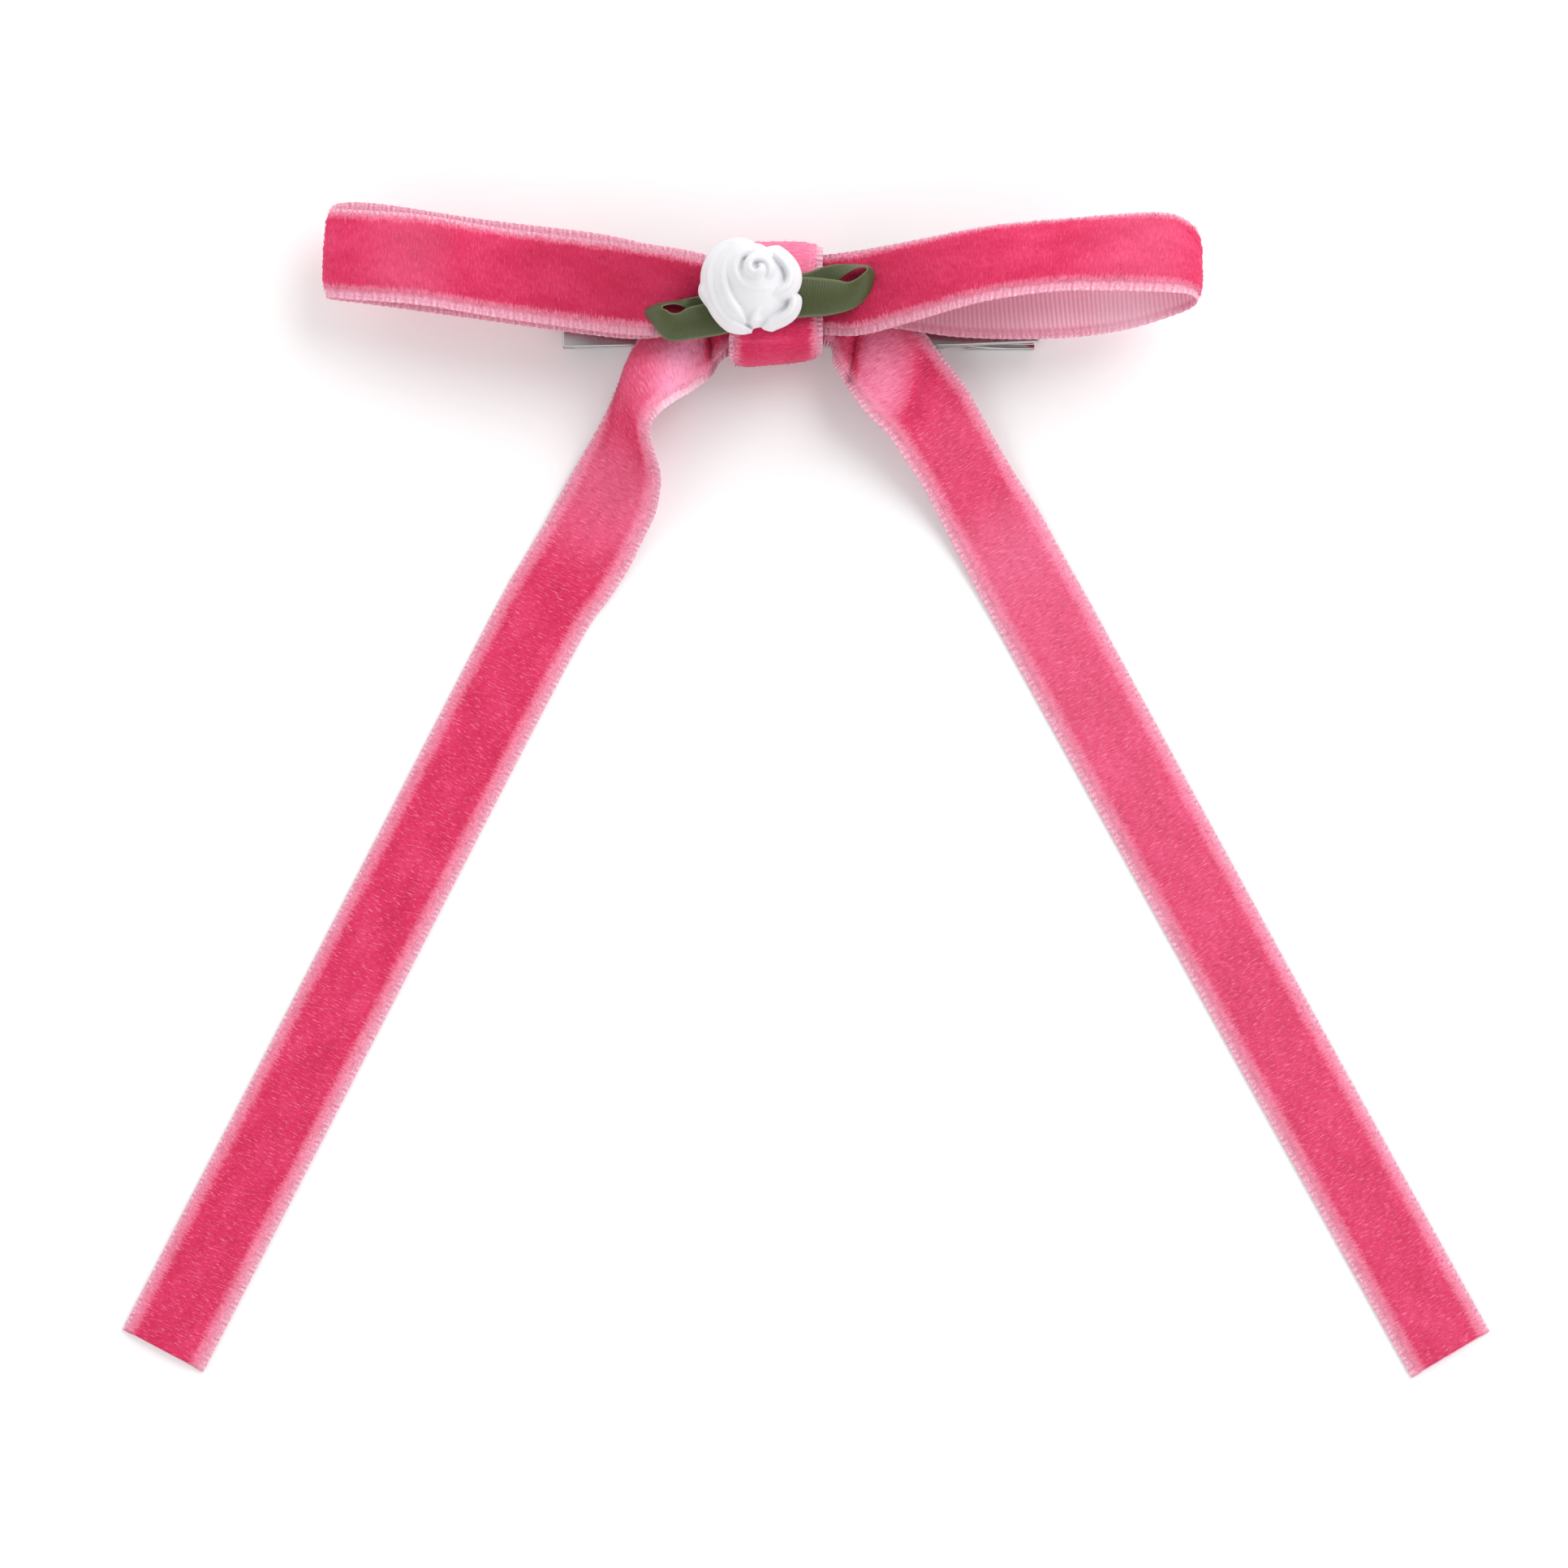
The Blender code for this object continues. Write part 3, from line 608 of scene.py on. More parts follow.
# In the tail and loop stations the last figure paints highlight or shade: lighter on the bulges and along
# the tails, darker near the knot.
TAIL_LEFT = [
    ((-63.5, -112.8, 0.25), (-72.0, -108.3, 0.25), 0, 0),
    ((-44.1, -75.1, 0.25), (-52.6, -70.8, 0.25), 0, 0),
    ((-24.7, -37.5, 0.25), (-33.2, -33.2, 0.25), 0, 0),
    ((-20.3, -30.6, 0.4), (-29.4, -26.4, 0.25), 0, 0),
    ((-18.1, -27.2, 0.7), (-27.3, -22.9, 0.35), 0, 0.1),
    ((-16.6, -24.2, 1.3), (-25.6, -19.8, 0.4), 0, 0.2),
    ((-15.3, -21.7, 2.3), (-24.0, -16.9, 0.6), 0, 0.25),
    ((-14.7, -19.2, 3.7), (-22.1, -13.7, 1.0), 0.3, 0.2),
    ((-14.6, -17.4, 5.0), (-20.8, -11.4, 1.4), 0.6, 0.1),
    ((-15.2, -15.4, 6.9), (-19.6, -9.2, 2.0), 0.8, 0),
    ((-15.6, -13.7, 8.2), (-18.5, -6.9, 2.7), 1.0, 0),
    ((-15.2, -12.2, 8.7), (-17.4, -4.6, 4.3), 1.3, 0.15),
    ((-13.7, -10.7, 8.4), (-16.2, -2.5, 4.95), 1.3, 0.15),
    ((-11.2, -9.0, 7.0), (-14.2, 0.3, 5.1), 0.8, 0.3),
    ((-9.2, -7.3, 5.6), (-11.2, 2.9, 5.45), 0.2, 0.2),
    ((-6.8, -4.9, 5.5), (-6.8, 4.9, 5.5), 0.1, -0.3),
]
TAIL_RIGHT = [
    ((2.5, -4.0, 5.5), (4.4, 3.8, 5.5), 0, -0.2),
    ((3.5, -5.9, 5.3), (9.2, 0.9, 5.5), 0.2, 0.1),
    ((4.4, -7.4, 5.6), (12.3, -1.7, 5.4), 0.9, 0.1),
    ((5.3, -8.9, 6.0), (14.0, -3.8, 5.0), 1.1, 0.1),
    ((6.4, -10.5, 6.0), (15.5, -5.7, 4.2), 0.9, 0.1),
    ((8.0, -12.1, 5.4), (16.7, -7.1, 3.6), 0.5, 0.05),
    ((9.7, -13.8, 4.8), (17.8, -8.5, 3.0), 0.2, 0.05),
    ((11.2, -16.0, 4.0), (19.3, -11.1, 2.3), 0, 0.1),
    ((13.2, -18.8, 2.8), (21.1, -14.2, 1.6), 0, 0.1),
    ((15.0, -22.1, 1.6), (23.1, -17.5, 0.9), 0, 0.1),
    ((16.8, -25.5, 0.9), (25.3, -20.8, 0.5), 0, 0.25),
    ((18.6, -28.9, 0.5), (27.2, -24.2, 0.35), 0, 0.3),
    ((20.5, -32.4, 0.35), (29.1, -27.6, 0.25), 0, 0.25),
    ((23.3, -37.5, 0.25), (32.0, -32.8, 0.25), 0, 0.2),
    ((44.3, -75.5, 0.25), (52.7, -70.8, 0.25), 0, 0.1),
    ((65.3, -113.4, 0.25), (73.5, -108.5, 0.25), 0, 0.05),
]
LOOP_RIGHT = [
    ((2.9, 4.6, 6.9), (2.9, -2.9, 6.9), 0, -0.6),
    ((8.8, 5.0, 7.2), (8.8, -2.4, 7.2), 0, -0.6),
    ((16.6, 5.5, 7.8), (17.0, -3.5, 7.8), 0, -0.5),
    ((25.4, 5.9, 9.2), (26.4, -3.8, 9.2), 0, -0.1),
    ((33.3, 6.2, 8.3), (33.8, -2.8, 8.0), 0, 0.65),
    ((38.2, 6.3, 7.9), (39.2, -1.2, 8.0), 0, 0.4),
    ((40.7, 6.6, 8.1), (41.1, -0.4, 8.8), 0, 0),
    ((41.5, 7.2, 8.6), (41.4, 0.1, 10.0), 0, 0),
    ((40.6, 8.3, 9.2), (40.3, 0.5, 11.7), 0, 0),
    ((38.6, 9.1, 9.6), (38.0, 0.5, 13.2), 0.3, 0.1),
    ((35.0, 9.1, 10.0), (33.6, 0.5, 14.3), 0.5, 0.1),
    ((28.0, 8.5, 10.2), (26.4, 0.4, 14.7), 0.6, 0),
    ((19.9, 7.8, 9.8), (18.8, -0.6, 14.0), 0.6, -0.1),
    ((10.3, 6.1, 8.8), (11.3, -2.5, 12.0), 0.4, -0.4),
    ((5.8, 5.4, 8.2), (6.6, -3.5, 10.0), 0.2, -0.5),
    ((2.2, 5.0, 7.9), (3.0, -3.3, 8.1), 0, -0.7),
]
LOOP_LEFT = [
    ((-7.2, 4.1, 8.0), (-7.2, -2.6, 8.1), 0, -0.7),
    ((-9.7, 4.5, 8.1), (-10.8, -3.1, 8.8), 0.2, -0.7),
    ((-14.0, 5.4, 8.3), (-14.8, -3.5, 9.5), 0.3, -0.65),
    ((-19.0, 6.2, 8.4), (-19.0, -3.4, 10.0), 0.3, -0.6),
    ((-31.3, 7.8, 8.3), (-31.1, -1.8, 10.4), 0.3, -0.15),
    ((-39.3, 9.2, 8.0), (-39.2, -0.4, 9.8), 0.2, 0.1),
    ((-46.6, 9.8, 7.6), (-46.8, 0.4, 8.3), 0, 0),
    ((-49.2, 10.1, 6.8), (-49.7, 0.8, 7.0), 0, 0),
    ((-47.8, 10.8, 6.1), (-48.6, 0.6, 6.1), 0, 0),
    ((-43.4, 10.6, 5.9), (-44.4, 0.1, 5.9), 0, 0),
    ((-33.5, 9.1, 5.8), (-33.5, -1.4, 5.8), 0, 0),
    ((-21.7, 7.6, 6.3), (-21.7, -3.1, 6.5), 0, 0),
    ((-16.0, 6.4, 6.7), (-16.2, -3.6, 7.3), 0, 0),
    ((-11.8, 5.7, 6.8), (-11.8, -2.9, 7.3), 0, 0),
    ((-7.2, 4.6, 6.9), (-7.2, -2.5, 6.9), 0, 0),
]
# Creases are (start, end, depth, width, painted shading). The tails' creases of no depth only paint a
# highlight, and their pressed ones are painted darker.
TAIL_CREASES = [
    ((-9.0, -8.2, 6.2), (-13.6, -11.0, 8.4), 0.0, 1.0, 1.0),
    ((-13.6, -11.0, 8.4), (-14.9, -13.6, 8.4), 0.0, 0.8, 1.0),
    ((-11.6, -3.0, 7.0), (-13.2, -8.8, 8.0), 0.0, 2.1, 1.0),
    ((-9.5, -3.0, 5.6), (-9.2, -7.2, 5.4), 0.5, 0.75, -1.0),
    ((8.4, -4.0, 6.3), (8.8, -9.4, 6.3), 0.0, 2.9, 0.6),
    ((13.2, -6.0, 5.6), (12.0, -11.5, 5.0), 0.25, 1.3, -0.2),
    ((6.2, -2.5, 5.9), (5.5, -7.6, 5.9), 0.7, 0.7, -0.9),
]
WRAP_CREASES = [
    ((-7.2, -4.1, 9.0), (-1.0, -3.9, 9.1), 0.12, 0.45, 0.25),
    ((-5.5, -6.0, 6.0), (1.5, -5.0, 6.5), -0.1, 0.9, -0.1),
]
# The wrap's section, (y, z) of its left edge, and how far its right edge lies from that in y.
WRAP_SECTION = [
    (-1.0, 2.4, 0),
    (1.5, 2.4, 0),
    (4.2, 2.4, 0),
    (5.6, 3.0, 0),
    (5.9, 4.7, 0),
    (5.9, 7.2, 0),
    (5.3, 8.7, 0),
    (3.3, 9.0, 0),
    (0.0, 9.05, 0),
    (-2.8, 9.0, 0.2),
    (-4.3, 8.6, 0.6),
    (-5.4, 7.4, 0.9),
    (-5.8, 5.4, 0.9),
    (-5.7, 3.5, 0.9),
    (-4.6, 2.5, 0.6),
    (-2.0, 2.4, 0),
    (-1.2, 2.4, 0),
]
WRAP_LEFT_X = -7.3
WRAP_RIGHT_X = 2.4


def wrap_stations():
    stations = []
    for y, z, skew in WRAP_SECTION:
        # The side of the wrap towards +Y is painted lighter and the rest is painted darker.
        painted_shading = 0.5 if y > 3 and z > 4 else -0.25
        stations.append(((WRAP_LEFT_X, y, z), (WRAP_RIGHT_X, y + skew, z), 0.15 if z > 8 else 0, painted_shading))
    return stations


def velvet_ribbon(name, ribbon, reach, finishes, node):
    """A whole ribbon. reach is the pile's share of the half width on side a and on side b."""
    ground = woven_ground(name + "_ground", ribbon, finishes[0])
    pile = velvet_pile_piece(name + "_pile", ribbon, reach, finishes[1])
    for piece in (ground, pile):
        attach(piece, BOW)
    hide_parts(node)


def make_bow():
    streaks_and_glints = velvet_pile("brushed_velvet", 1.0, 0.70, 0.85)
    smooth = velvet_pile("smooth_velvet", 0.35, 0.80, 0.7)
    pale = ribbon_ground("ribbon_ground", (0.70, 0.20, 0.31), (0.88, 0.39, 0.53))
    dusky = ribbon_ground("wrap_ground_cloth", (0.60, 0.13, 0.23), (0.76, 0.27, 0.40))
    tails = Ribbon(TAIL_LEFT + TAIL_RIGHT, creases=TAIL_CREASES)
    velvet_ribbon("tails", tails, (0.87, 0.94), (pale, streaks_and_glints), "tail_ribbon")
    loops = Ribbon(LOOP_RIGHT + LOOP_LEFT, smoothing=1.6)
    velvet_ribbon("loops", loops, (0.94, 0.83), (pale, smooth), "loop_ribbon")
    wrap = Ribbon(wrap_stations(), smoothing=1.0, creases=WRAP_CREASES)
    velvet_ribbon("wrap", wrap, (0.90, 0.88), (dusky, smooth), "knot_wrap")


# ---------------------------------------------------------------- leaves and rose

LEAF_ORIGIN = (-4.85, 1.15)  # x and y that the leaf stations are measured from
# A leaf station is (inner edge, outer edge, crown). The ribbon runs out from under the rose,
# turns on its edge round a small eye, and comes back over itself.
LEAF_RIGHT = [
    ((2.2, -2.6, 9.90), (1.5, 1.3, 9.90), 0),
    ((5.6, -2.2, 9.95), (5.2, 1.7, 9.95), 0),
    ((7.6, -0.6, 10.0), (7.3, 2.4, 9.95), 0),
    ((8.9, 0.9, 10.4), (8.8, 2.65, 9.95), 0.1),
    ((9.9, 1.65, 10.9), (10.1, 2.65, 9.95), 0.1),
    ((10.9, 2.10, 11.3), (11.3, 2.56, 9.95), 0.1),
    ((11.7, 2.10, 11.6), (12.2, 2.4, 9.95), 0.1),
    ((11.8, 1.80, 11.7), (12.7, 1.7, 10.0), 0.1),
    ((11.4, 1.45, 11.7), (12.5, 0.5, 10.2), 0.25),
    ((10.9, 1.05, 11.6), (11.9, -0.8, 10.4), 0.2),
    ((9.9, 0.65, 11.3), (10.4, -2.05, 10.6), 0.3),
    ((8.6, 0.9, 11.1), (7.9, -2.75, 10.75), 0.4),
    ((5.6, 1.2, 11.0), (5.5, -2.95, 10.8), 0.35),
    ((1.5, 1.2, 10.9), (2.4, -3.3, 10.8), 0.2),
]
LEAF_LEFT = [
    ((-2.0, -3.6, 9.90), (-1.5, -0.4, 9.90), 0),
    ((-4.6, -3.9, 9.95), (-4.8, -0.6, 9.95), 0),
    ((-6.0, -3.0, 10.0), (-6.2, -0.75, 9.95), 0),
    ((-6.9, -2.0, 10.4), (-7.3, -1.0, 9.95), 0.1),
    ((-7.9, -1.60, 10.9), (-8.6, -1.25, 9.95), 0.1),
    ((-8.8, -1.70, 11.2), (-10.0, -1.5, 9.95), 0.1),
    ((-9.3, -1.90, 11.3), (-11.2, -2.05, 9.98), 0.1),
    ((-9.3, -2.1, 11.35), (-11.4, -2.45, 10.0), 0.1),
    ((-8.9, -2.25, 11.3), (-10.5, -3.4, 10.2), 0.25),
    ((-8.4, -2.55, 11.2), (-9.7, -4.6, 10.4), 0.2),
    ((-7.6, -2.50, 11.15), (-8.5, -5.4, 10.6), 0.35),
    ((-6.5, -1.9, 11.1), (-6.2, -5.2, 10.7), 0.45),
    ((-4.2, -1.4, 11.0), (-4.0, -4.9, 10.75), 0.4),
    ((-1.6, -0.5, 10.9), (-1.6, -4.4, 10.8), 0.2),
]
LEAF_THICK = 0.16
LEAF_HALF_WIDTH = 1.95
LEAF_COLUMNS = 25
LEAF_STEP = 0.1
LEAF_DARK = (0.034, 0.044, 0.012)
LEAF_LIGHT = (0.075, 0.092, 0.026)
LEAF_EDGE = (0.11, 0.14, 0.045)


def leaf(name, stations, outward, finish, node):
    """A narrow satin ribbon folded over at the leaf's tip.

    outward is 1 for the leaf that sets off to +X and -1 for the other.
    """
    placed = []
    for inner, outer, crown in stations:
        ends = [(LEAF_ORIGIN[0] + x, LEAF_ORIGIN[1] + y, z) for x, y, z in (inner, outer)[::outward]]
        placed.append((*ends, crown, 0))
    ribbon = Ribbon(placed, step=0.15, smoothing=0.45)
    columns = np.linspace(-1, 1, LEAF_COLUMNS)
    points, normals, run, _ = ribbon.surface(LEAF_STEP, columns)
    thick = LEAF_THICK / 2 * thinned(columns, 16, 0.85)[None, :, None]
    loop, faces = closed_strip(points + normals * thick, points - normals * thick)
    uvs = cloth_uvs(there_and_back(columns) * LEAF_HALF_WIDTH, run)
    made = mesh_object(name, loop, faces, finish, uvs)
    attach(made, BOW)
    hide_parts(node)


# A petal is its rim's points from the middle of the rose, (x, y, height), then the lip's
# radius, the width of its outer slope and the drop of that slope.
ROSE_BASE_Z = 11.5
ROSE_UNDERSIDE = -1.35
BUD_CENTRE = (0.7, 1.6)
ROSE_MIDDLE = (-5.15, 0.75)
ROSE_SIZE = (0.91, 0.89, 1.0)
BUD = [
    (0.75, 2.2, 5.9), (1.25, 2.3, 6.0), (1.35, 1.8, 5.95), (0.75, 1.4, 5.9), (0.1, 1.8, 5.85),
    (0.0, 2.5, 5.8), (0.5, 3.05, 5.7), (1.45, 3.1, 5.6), (2.15, 2.5, 5.5), (2.25, 1.45, 5.4),
    (1.45, 0.65, 5.3),
]
BUD_WRAP = [
    (2.5, 3.0, 4.6), (1.8, 3.7, 4.8), (0.4, 4.0, 4.9), (-0.9, 3.6, 4.95), (-1.5, 2.5, 5.0),
    (-1.4, 1.25, 5.0), (-0.5, 0.2, 4.95), (1.0, -0.25, 4.8), (2.3, 0.1, 4.6), (3.0, 1.0, 4.4),
]
PETAL_LEFT_INNER = [
    (0.6, 4.9, 3.7), (-0.6, 4.7, 3.95), (-1.9, 3.8, 4.1), (-2.7, 2.3, 4.2), (-2.8, 0.6, 4.2),
    (-2.3, -1.2, 4.1), (-1.3, -2.8, 3.9), (-0.4, -3.9, 3.5),
]
PETAL_RIGHT_TOP = [
    (1.5, 4.6, 3.3), (2.7, 3.9, 3.6), (3.6, 3.2, 3.8), (4.3, 2.3, 3.8), (4.6, 1.3, 3.8),
    (4.3, 0.3, 3.9), (3.5, -0.2, 4.0), (2.4, -0.7, 3.9), (1.5, -1.1, 3.7),
]
PETAL_LOW = [(2.6, -1.2, 3.3), (1.6, -1.7, 3.5), (0.8, -2.6, 3.4), (0.5, -3.6, 3.1), (0.6, -4.4, 2.7)]
PETAL_LEFT_OUTER = [
    (0.8, 5.2, 2.6), (-0.7, 5.2, 2.9), (-2.6, 4.5, 3.1), (-3.9, 3.2, 3.2), (-4.4, 1.6, 3.2),
    (-4.2, -0.2, 3.2), (-3.5, -2.0, 3.1), (-2.4, -3.4, 3.0), (-1.0, -4.3, 2.8), (0.3, -4.7, 2.5),
]
PETAL_RIGHT_LOW = [
    (4.5, -0.3, 2.6), (5.0, -1.2, 2.9), (4.7, -2.4, 3.0), (3.8, -3.2, 2.9), (2.6, -3.7, 2.7),
    (1.4, -4.3, 2.4),
]
LOBE_LEFT = [(-4.4, 1.2, 2.0), (-5.0, 0.5, 2.3), (-5.1, -0.3, 2.3), (-4.6, -1.1, 2.1), (-3.9, -2.0, 1.8)]
LOBE_RIGHT = [(3.3, 3.9, 1.9), (4.4, 2.9, 2.2), (5.0, 1.8, 2.3), (5.0, 0.8, 2.2), (4.7, 0.0, 2.0)]
PETALS = [
    (BUD, 0.36, 0.3, 0.5),
    (BUD_WRAP, 0.42, 0.7, 0.9),
    (PETAL_LEFT_INNER, 0.5, 1.0, 1.2),
    (PETAL_RIGHT_TOP, 0.48, 0.9, 1.2),
    (PETAL_LOW, 0.45, 0.7, 0.9),
    (PETAL_LEFT_OUTER, 0.5, 0.7, 1.4),
    (PETAL_RIGHT_LOW, 0.48, 0.5, 1.2),
    (LOBE_LEFT, 0.42, 0.3, 0.8),
    (LOBE_RIGHT, 0.42, 0.3, 1.0),
]
LIP_STEPS = 8
# The rolled body under the petals, as (radius, height), and how far it leans with height.
ROSE_PROFILE = [
    (2.3, ROSE_UNDERSIDE),
    (3.4, -0.9),
    (4.2, -0.3),
    (4.7, 1.2),
    (4.4, 2.2),
    (3.3, 3.3),
    (2.2, 4.3),
    (0.9, 5.1),
]
ROSE_LEAN = (0.12, 0.25)
ROSE_SIDES = 48
ROSE_SKIN = 0.1  # size of the cells that skin the petals together
ROSE_SOFTENING = 4


def petal(rim, lip, slope, drop):
    """A folded edge of ribbon: a round lip along the rim over a long outer slope."""
    line = smooth_rows(spline(np.array(rim), 10), 7)
    line, run = resample(line, 0.12, lambda r: r)
    size = np.clip(np.sin(np.pi * run / run[-1]) * 2.2, 0.1, 1) ** 0.6
    along = unit(np.gradient(line[:, :2], axis=0))
    out = np.stack([along[:, 1], -along[:, 0]], axis=1)
    if np.sum(out * (line[:, :2] - BUD_CENTRE)) < 0:
        out = -out
    section = [(-lip - 0.6, -2.4), (-lip - 0.5, -1.4), (-lip - 0.12, -0.95)]
    for k in range(LIP_STEPS + 1):
        turn = math.pi * (1 - k / LIP_STEPS)
        section.append((lip * math.cos(turn), lip * (math.sin(turn) - 1)))
    section += [(lip + slope * 0.45, -lip - drop * 0.3), (lip + slope * 0.85, -lip - drop * 0.65)]
    section += [(lip + slope, -lip - drop), (lip + slope * 0.8, -lip - drop - 0.9), (0.0, -lip - drop - 1.2)]
    section = np.array(section)
    reach = section[None, :, 0] * size[:, None]
    points = np.empty((len(line), len(section), 3))
    points[:, :, :2] = line[:, None, :2] + out[:, None, :] * reach[:, :, None]
    sunk = line[:, 2] - 0.9 * (1 - size)
    points[:, :, 2] = sunk[:, None] + section[None, :, 1] * (0.35 + 0.65 * size[:, None])
    return points


def make_rose(finish):
    """Petals over a rolled body, skinned together and softened like ribbon folds."""
    grids = [petal(*row) for row in PETALS] + [rose_body()]
    points, faces, start = [], [], 0
    for grid in grids:
        rows, columns = grid.shape[:2]
        faces += closed_tube_faces(rows, columns, start)
        points.append(grid.reshape(-1, 3))
        start += rows * columns
    placed = np.concatenate(points)
    placed[:, 2] = np.maximum(placed[:, 2], ROSE_UNDERSIDE)
    placed = placed * ROSE_SIZE + np.array([*ROSE_MIDDLE, ROSE_BASE_Z])
    made = mesh_object("rose", placed, np.array(faces, dtype=object), finish)
    skin = made.modifiers.new("skin", "REMESH")
    skin.mode = "VOXEL"
    skin.voxel_size = ROSE_SKIN * MM
    skin.use_smooth_shade = True
    soften = made.modifiers.new("soften", "SMOOTH")
    soften.factor = 0.5
    soften.iterations = ROSE_SOFTENING
    keep_result(made)
    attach(made, BOW)
    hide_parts("ribbon_rose")


def rose_body():
    turn = 2 * math.pi * np.arange(ROSE_SIDES) / ROSE_SIDES
    rows = []
    for radius, z in ROSE_PROFILE:
        x = ROSE_LEAN[0] * z + radius * np.cos(turn)
        y = ROSE_LEAN[1] * z + radius * np.sin(turn)
        rows.append(np.stack([x, y, np.full_like(x, z)], axis=1))
    return np.array(rows)


# ---------------------------------------------------------------- clip


def keep_result(made):
    """The object's mesh with its modifiers worked in."""
    graph = bpy.context.evaluated_depsgraph_get()
    final = bpy.data.meshes.new_from_object(made.evaluated_get(graph))
    made.modifiers.clear()
    made.data = final


def rounded_steel(node, body, finish):
    """A pressed part with its long cut edges rolled over."""
    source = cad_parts[node]
    solid = bmesh.new()
    solid.from_mesh(source.data)
    bmesh.ops.remove_doubles(solid, verts=solid.verts[:], dist=0.001 * MM)
    flat = math.radians(FLAT_TURN)
    bmesh.ops.dissolve_limit(solid, angle_limit=flat, verts=solid.verts[:], edges=solid.edges[:])
    edges = []
    for edge in solid.edges:
        sharp = len(edge.link_faces) == 2 and edge.calc_face_angle(0) > math.radians(SHARP_TURN)
        if sharp and edge.is_convex and edge.calc_length() > LONG_EDGE * MM:
            edges.append(edge)
    rolled = {"offset": EDGE_RADIUS * MM, "segments": 3, "profile": 0.5}
    bmesh.ops.bevel(solid, geom=edges, affect="EDGES", clamp_overlap=False, **rolled)
    bmesh.ops.triangulate(solid, faces=solid.faces[:])
    mesh = bpy.data.meshes.new(node + "_plated")
    solid.to_mesh(mesh)
    solid.free()
    for face in mesh.polygons:
        face.use_smooth = True
    mesh.materials.append(finish)
    made = link(bpy.data.objects.new(node + "_plated", mesh))
    made.matrix_world = source.matrix_world.copy()
    made.modifiers.new("flats", "WEIGHTED_NORMAL")
    keep_result(made)
    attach(made, body)
    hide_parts(node)


def spring_path():
    """The middle of the wire: a leg, the coil round the hinge, and a rising leg."""
    half_length = COIL_PITCH * COIL_TURNS / 2
    leg_start = HINGE_X + SPRING_LEG_START
    points = [(SPRING_LEG_X, -half_length, HINGE_Z - COIL_RADIUS)]
    points.append((leg_start, -half_length, HINGE_Z - COIL_RADIUS))
    for share in np.linspace(0, 1, int(COIL_SIDES * COIL_TURNS) + 1):
        turn = -math.pi / 2 - 2 * math.pi * COIL_TURNS * share
        x = HINGE_X + COIL_RADIUS * math.cos(turn)
        points.append((x, half_length * (2 * share - 1), HINGE_Z + COIL_RADIUS * math.sin(turn)))
    lift = (SPRING_LEG_X - leg_start) * SPRING_LEG_SLOPE
    points.append((leg_start, half_length, HINGE_Z + COIL_RADIUS))
    points.append((SPRING_LEG_X, half_length, HINGE_Z + COIL_RADIUS + lift))
    return np.array(points)


def make_spring(finish):
    """A wire coil round the hinge, with a leg at each end."""
    path = spring_path()
    along = unit(np.gradient(path, axis=0))
    side = unit(np.cross(along, (0.1, 1.0, 0.2)))
    other = np.cross(along, side)
    turn = (2 * math.pi * np.arange(WIRE_SIDES) / WIRE_SIDES)[None, :, None]
    ring = side[:, None, :] * np.cos(turn) + other[:, None, :] * np.sin(turn)
    points = path[:, None, :] + ring * (WIRE / 2)
    faces = np.array(closed_tube_faces(len(path), WIRE_SIDES), dtype=object)
    made = mesh_object("spring", points.reshape(-1, 3), faces, finish)
    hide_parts("torsion_spring")
    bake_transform(made)


def make_clip(steel, wire, glue):
    rounded_steel("clip_upper_arm", BOW, steel)
    rounded_steel("clip_lower_arm", LOWER, steel)
    make_spring(wire)
    for node, finish in (("hinge_pin", steel), ("bow_glue", glue), ("rose_glue", glue)):
        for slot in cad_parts[node].material_slots:
            slot.material = finish


# ---------------------------------------------------------------- stage


def make_camera():
    data = bpy.data.cameras.new("camera")
    data.sensor_width = SENSOR
    data.lens = SENSOR * CAMERA_PLACE[2] / FIELD_WIDTH
    data.clip_start = 0.01
    camera = link(bpy.data.objects.new("camera", data))
    camera.location = Vector(CAMERA_PLACE) * MM
    bpy.context.scene.camera = camera
    bpy.context.scene.view_settings.view_transform = "Standard"


def make_key_light():
    data = bpy.data.lights.new("key", "AREA")
    data.shape = "DISK"
    data.size = KEY_SIZE * MM
    data.energy = KEY_WATTS
    light = link(bpy.data.objects.new("key", data))
    light.location = Vector(KEY_PLACE) * MM
    towards = Vector(KEY_AIM) - Vector(KEY_PLACE)
    light.rotation_euler = towards.to_track_quat("-Z", "Y").to_euler()


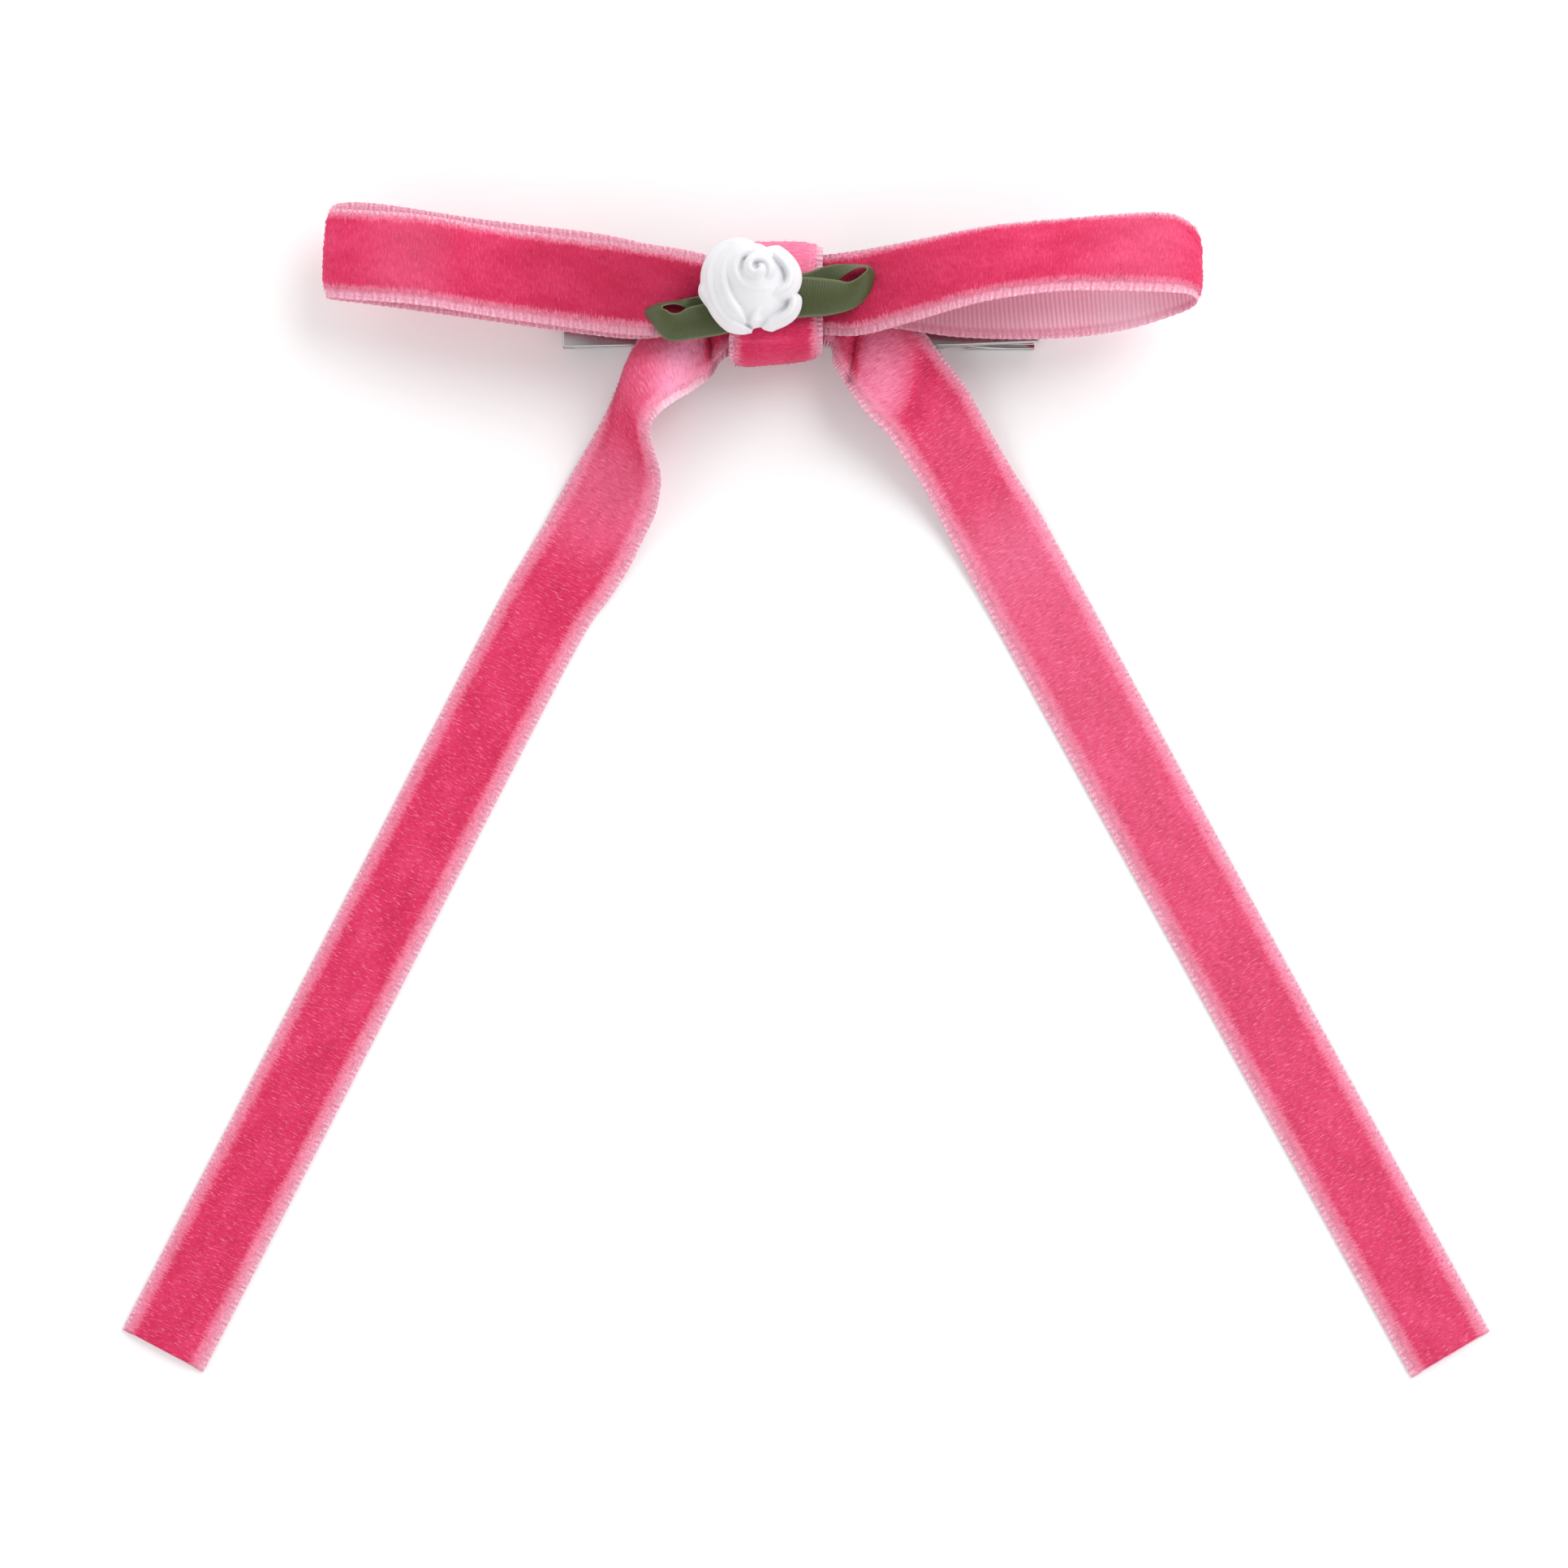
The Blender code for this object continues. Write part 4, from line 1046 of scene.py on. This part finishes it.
def make_floor():
    m = Nodes("pale_floor", Roughness=0.9)
    grain = m.noise(m.place(), 40.0, 2.0)
    m.link(m.mix(grain, (0.955, 0.955, 0.96), (0.975, 0.975, 0.98)), "Base Color")
    corners = [(FLOOR_REACH * x, FLOOR_REACH * y, 0) for x, y in ((-1, -1), (1, -1), (1, 1), (-1, 1))]
    floor = mesh_object("floor", corners, [(0, 1, 2, 3)], m.material)


def make_dome():
    """An even glow all round, dimmer straight above."""
    world = bpy.data.worlds.new("studio")
    bpy.context.scene.world = world
    world.use_nodes = True
    tree = world.node_tree
    place = tree.nodes.new("ShaderNodeTexCoord")
    height = tree.nodes.new("ShaderNodeSeparateXYZ")
    tree.links.new(place.outputs["Generated"], height.inputs[0])
    dome = tree.nodes.new("ShaderNodeMapRange")
    dome.interpolation_type = "SMOOTHSTEP"
    for key, value in zip(("From Min", "From Max"), DOME_DIMS):
        dome.inputs[key].default_value = value
    for key, value in (("To Min", DOME_SIDES), ("To Max", DOME_TOP)):
        dome.inputs[key].default_value = value
    tree.links.new(height.outputs["Z"], dome.inputs["Value"])
    background = tree.nodes["Background"]
    background.inputs["Color"].default_value = (1.0, 0.99, 0.985, 1.0)
    tree.links.new(dome.outputs["Result"], background.inputs["Strength"])


# ---------------------------------------------------------------- build

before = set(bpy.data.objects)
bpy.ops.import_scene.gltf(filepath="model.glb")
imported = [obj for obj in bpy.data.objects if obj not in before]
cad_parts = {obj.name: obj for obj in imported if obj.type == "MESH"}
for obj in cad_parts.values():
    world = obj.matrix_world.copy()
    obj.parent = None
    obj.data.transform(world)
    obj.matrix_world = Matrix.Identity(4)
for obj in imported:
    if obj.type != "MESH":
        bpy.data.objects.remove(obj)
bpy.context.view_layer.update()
make_camera()
make_floor()
make_dome()
make_key_light()
make_bow()
green = satin("leaf_satin", LEAF_DARK, LEAF_LIGHT, LEAF_EDGE, 0.45, LEAF_HALF_WIDTH)
leaf("leaf_right_ribbon", LEAF_RIGHT, 1, green, "leaf_right")
leaf("leaf_left_ribbon", LEAF_LEFT, -1, green, "leaf_left")
make_rose(rose_satin())
make_clip(
    plated_steel("nickel_plate", (0.48, 0.475, 0.47), 0.13),
    plated_steel("spring_wire", (0.36, 0.36, 0.36), 0.25),
    hot_glue(),
)
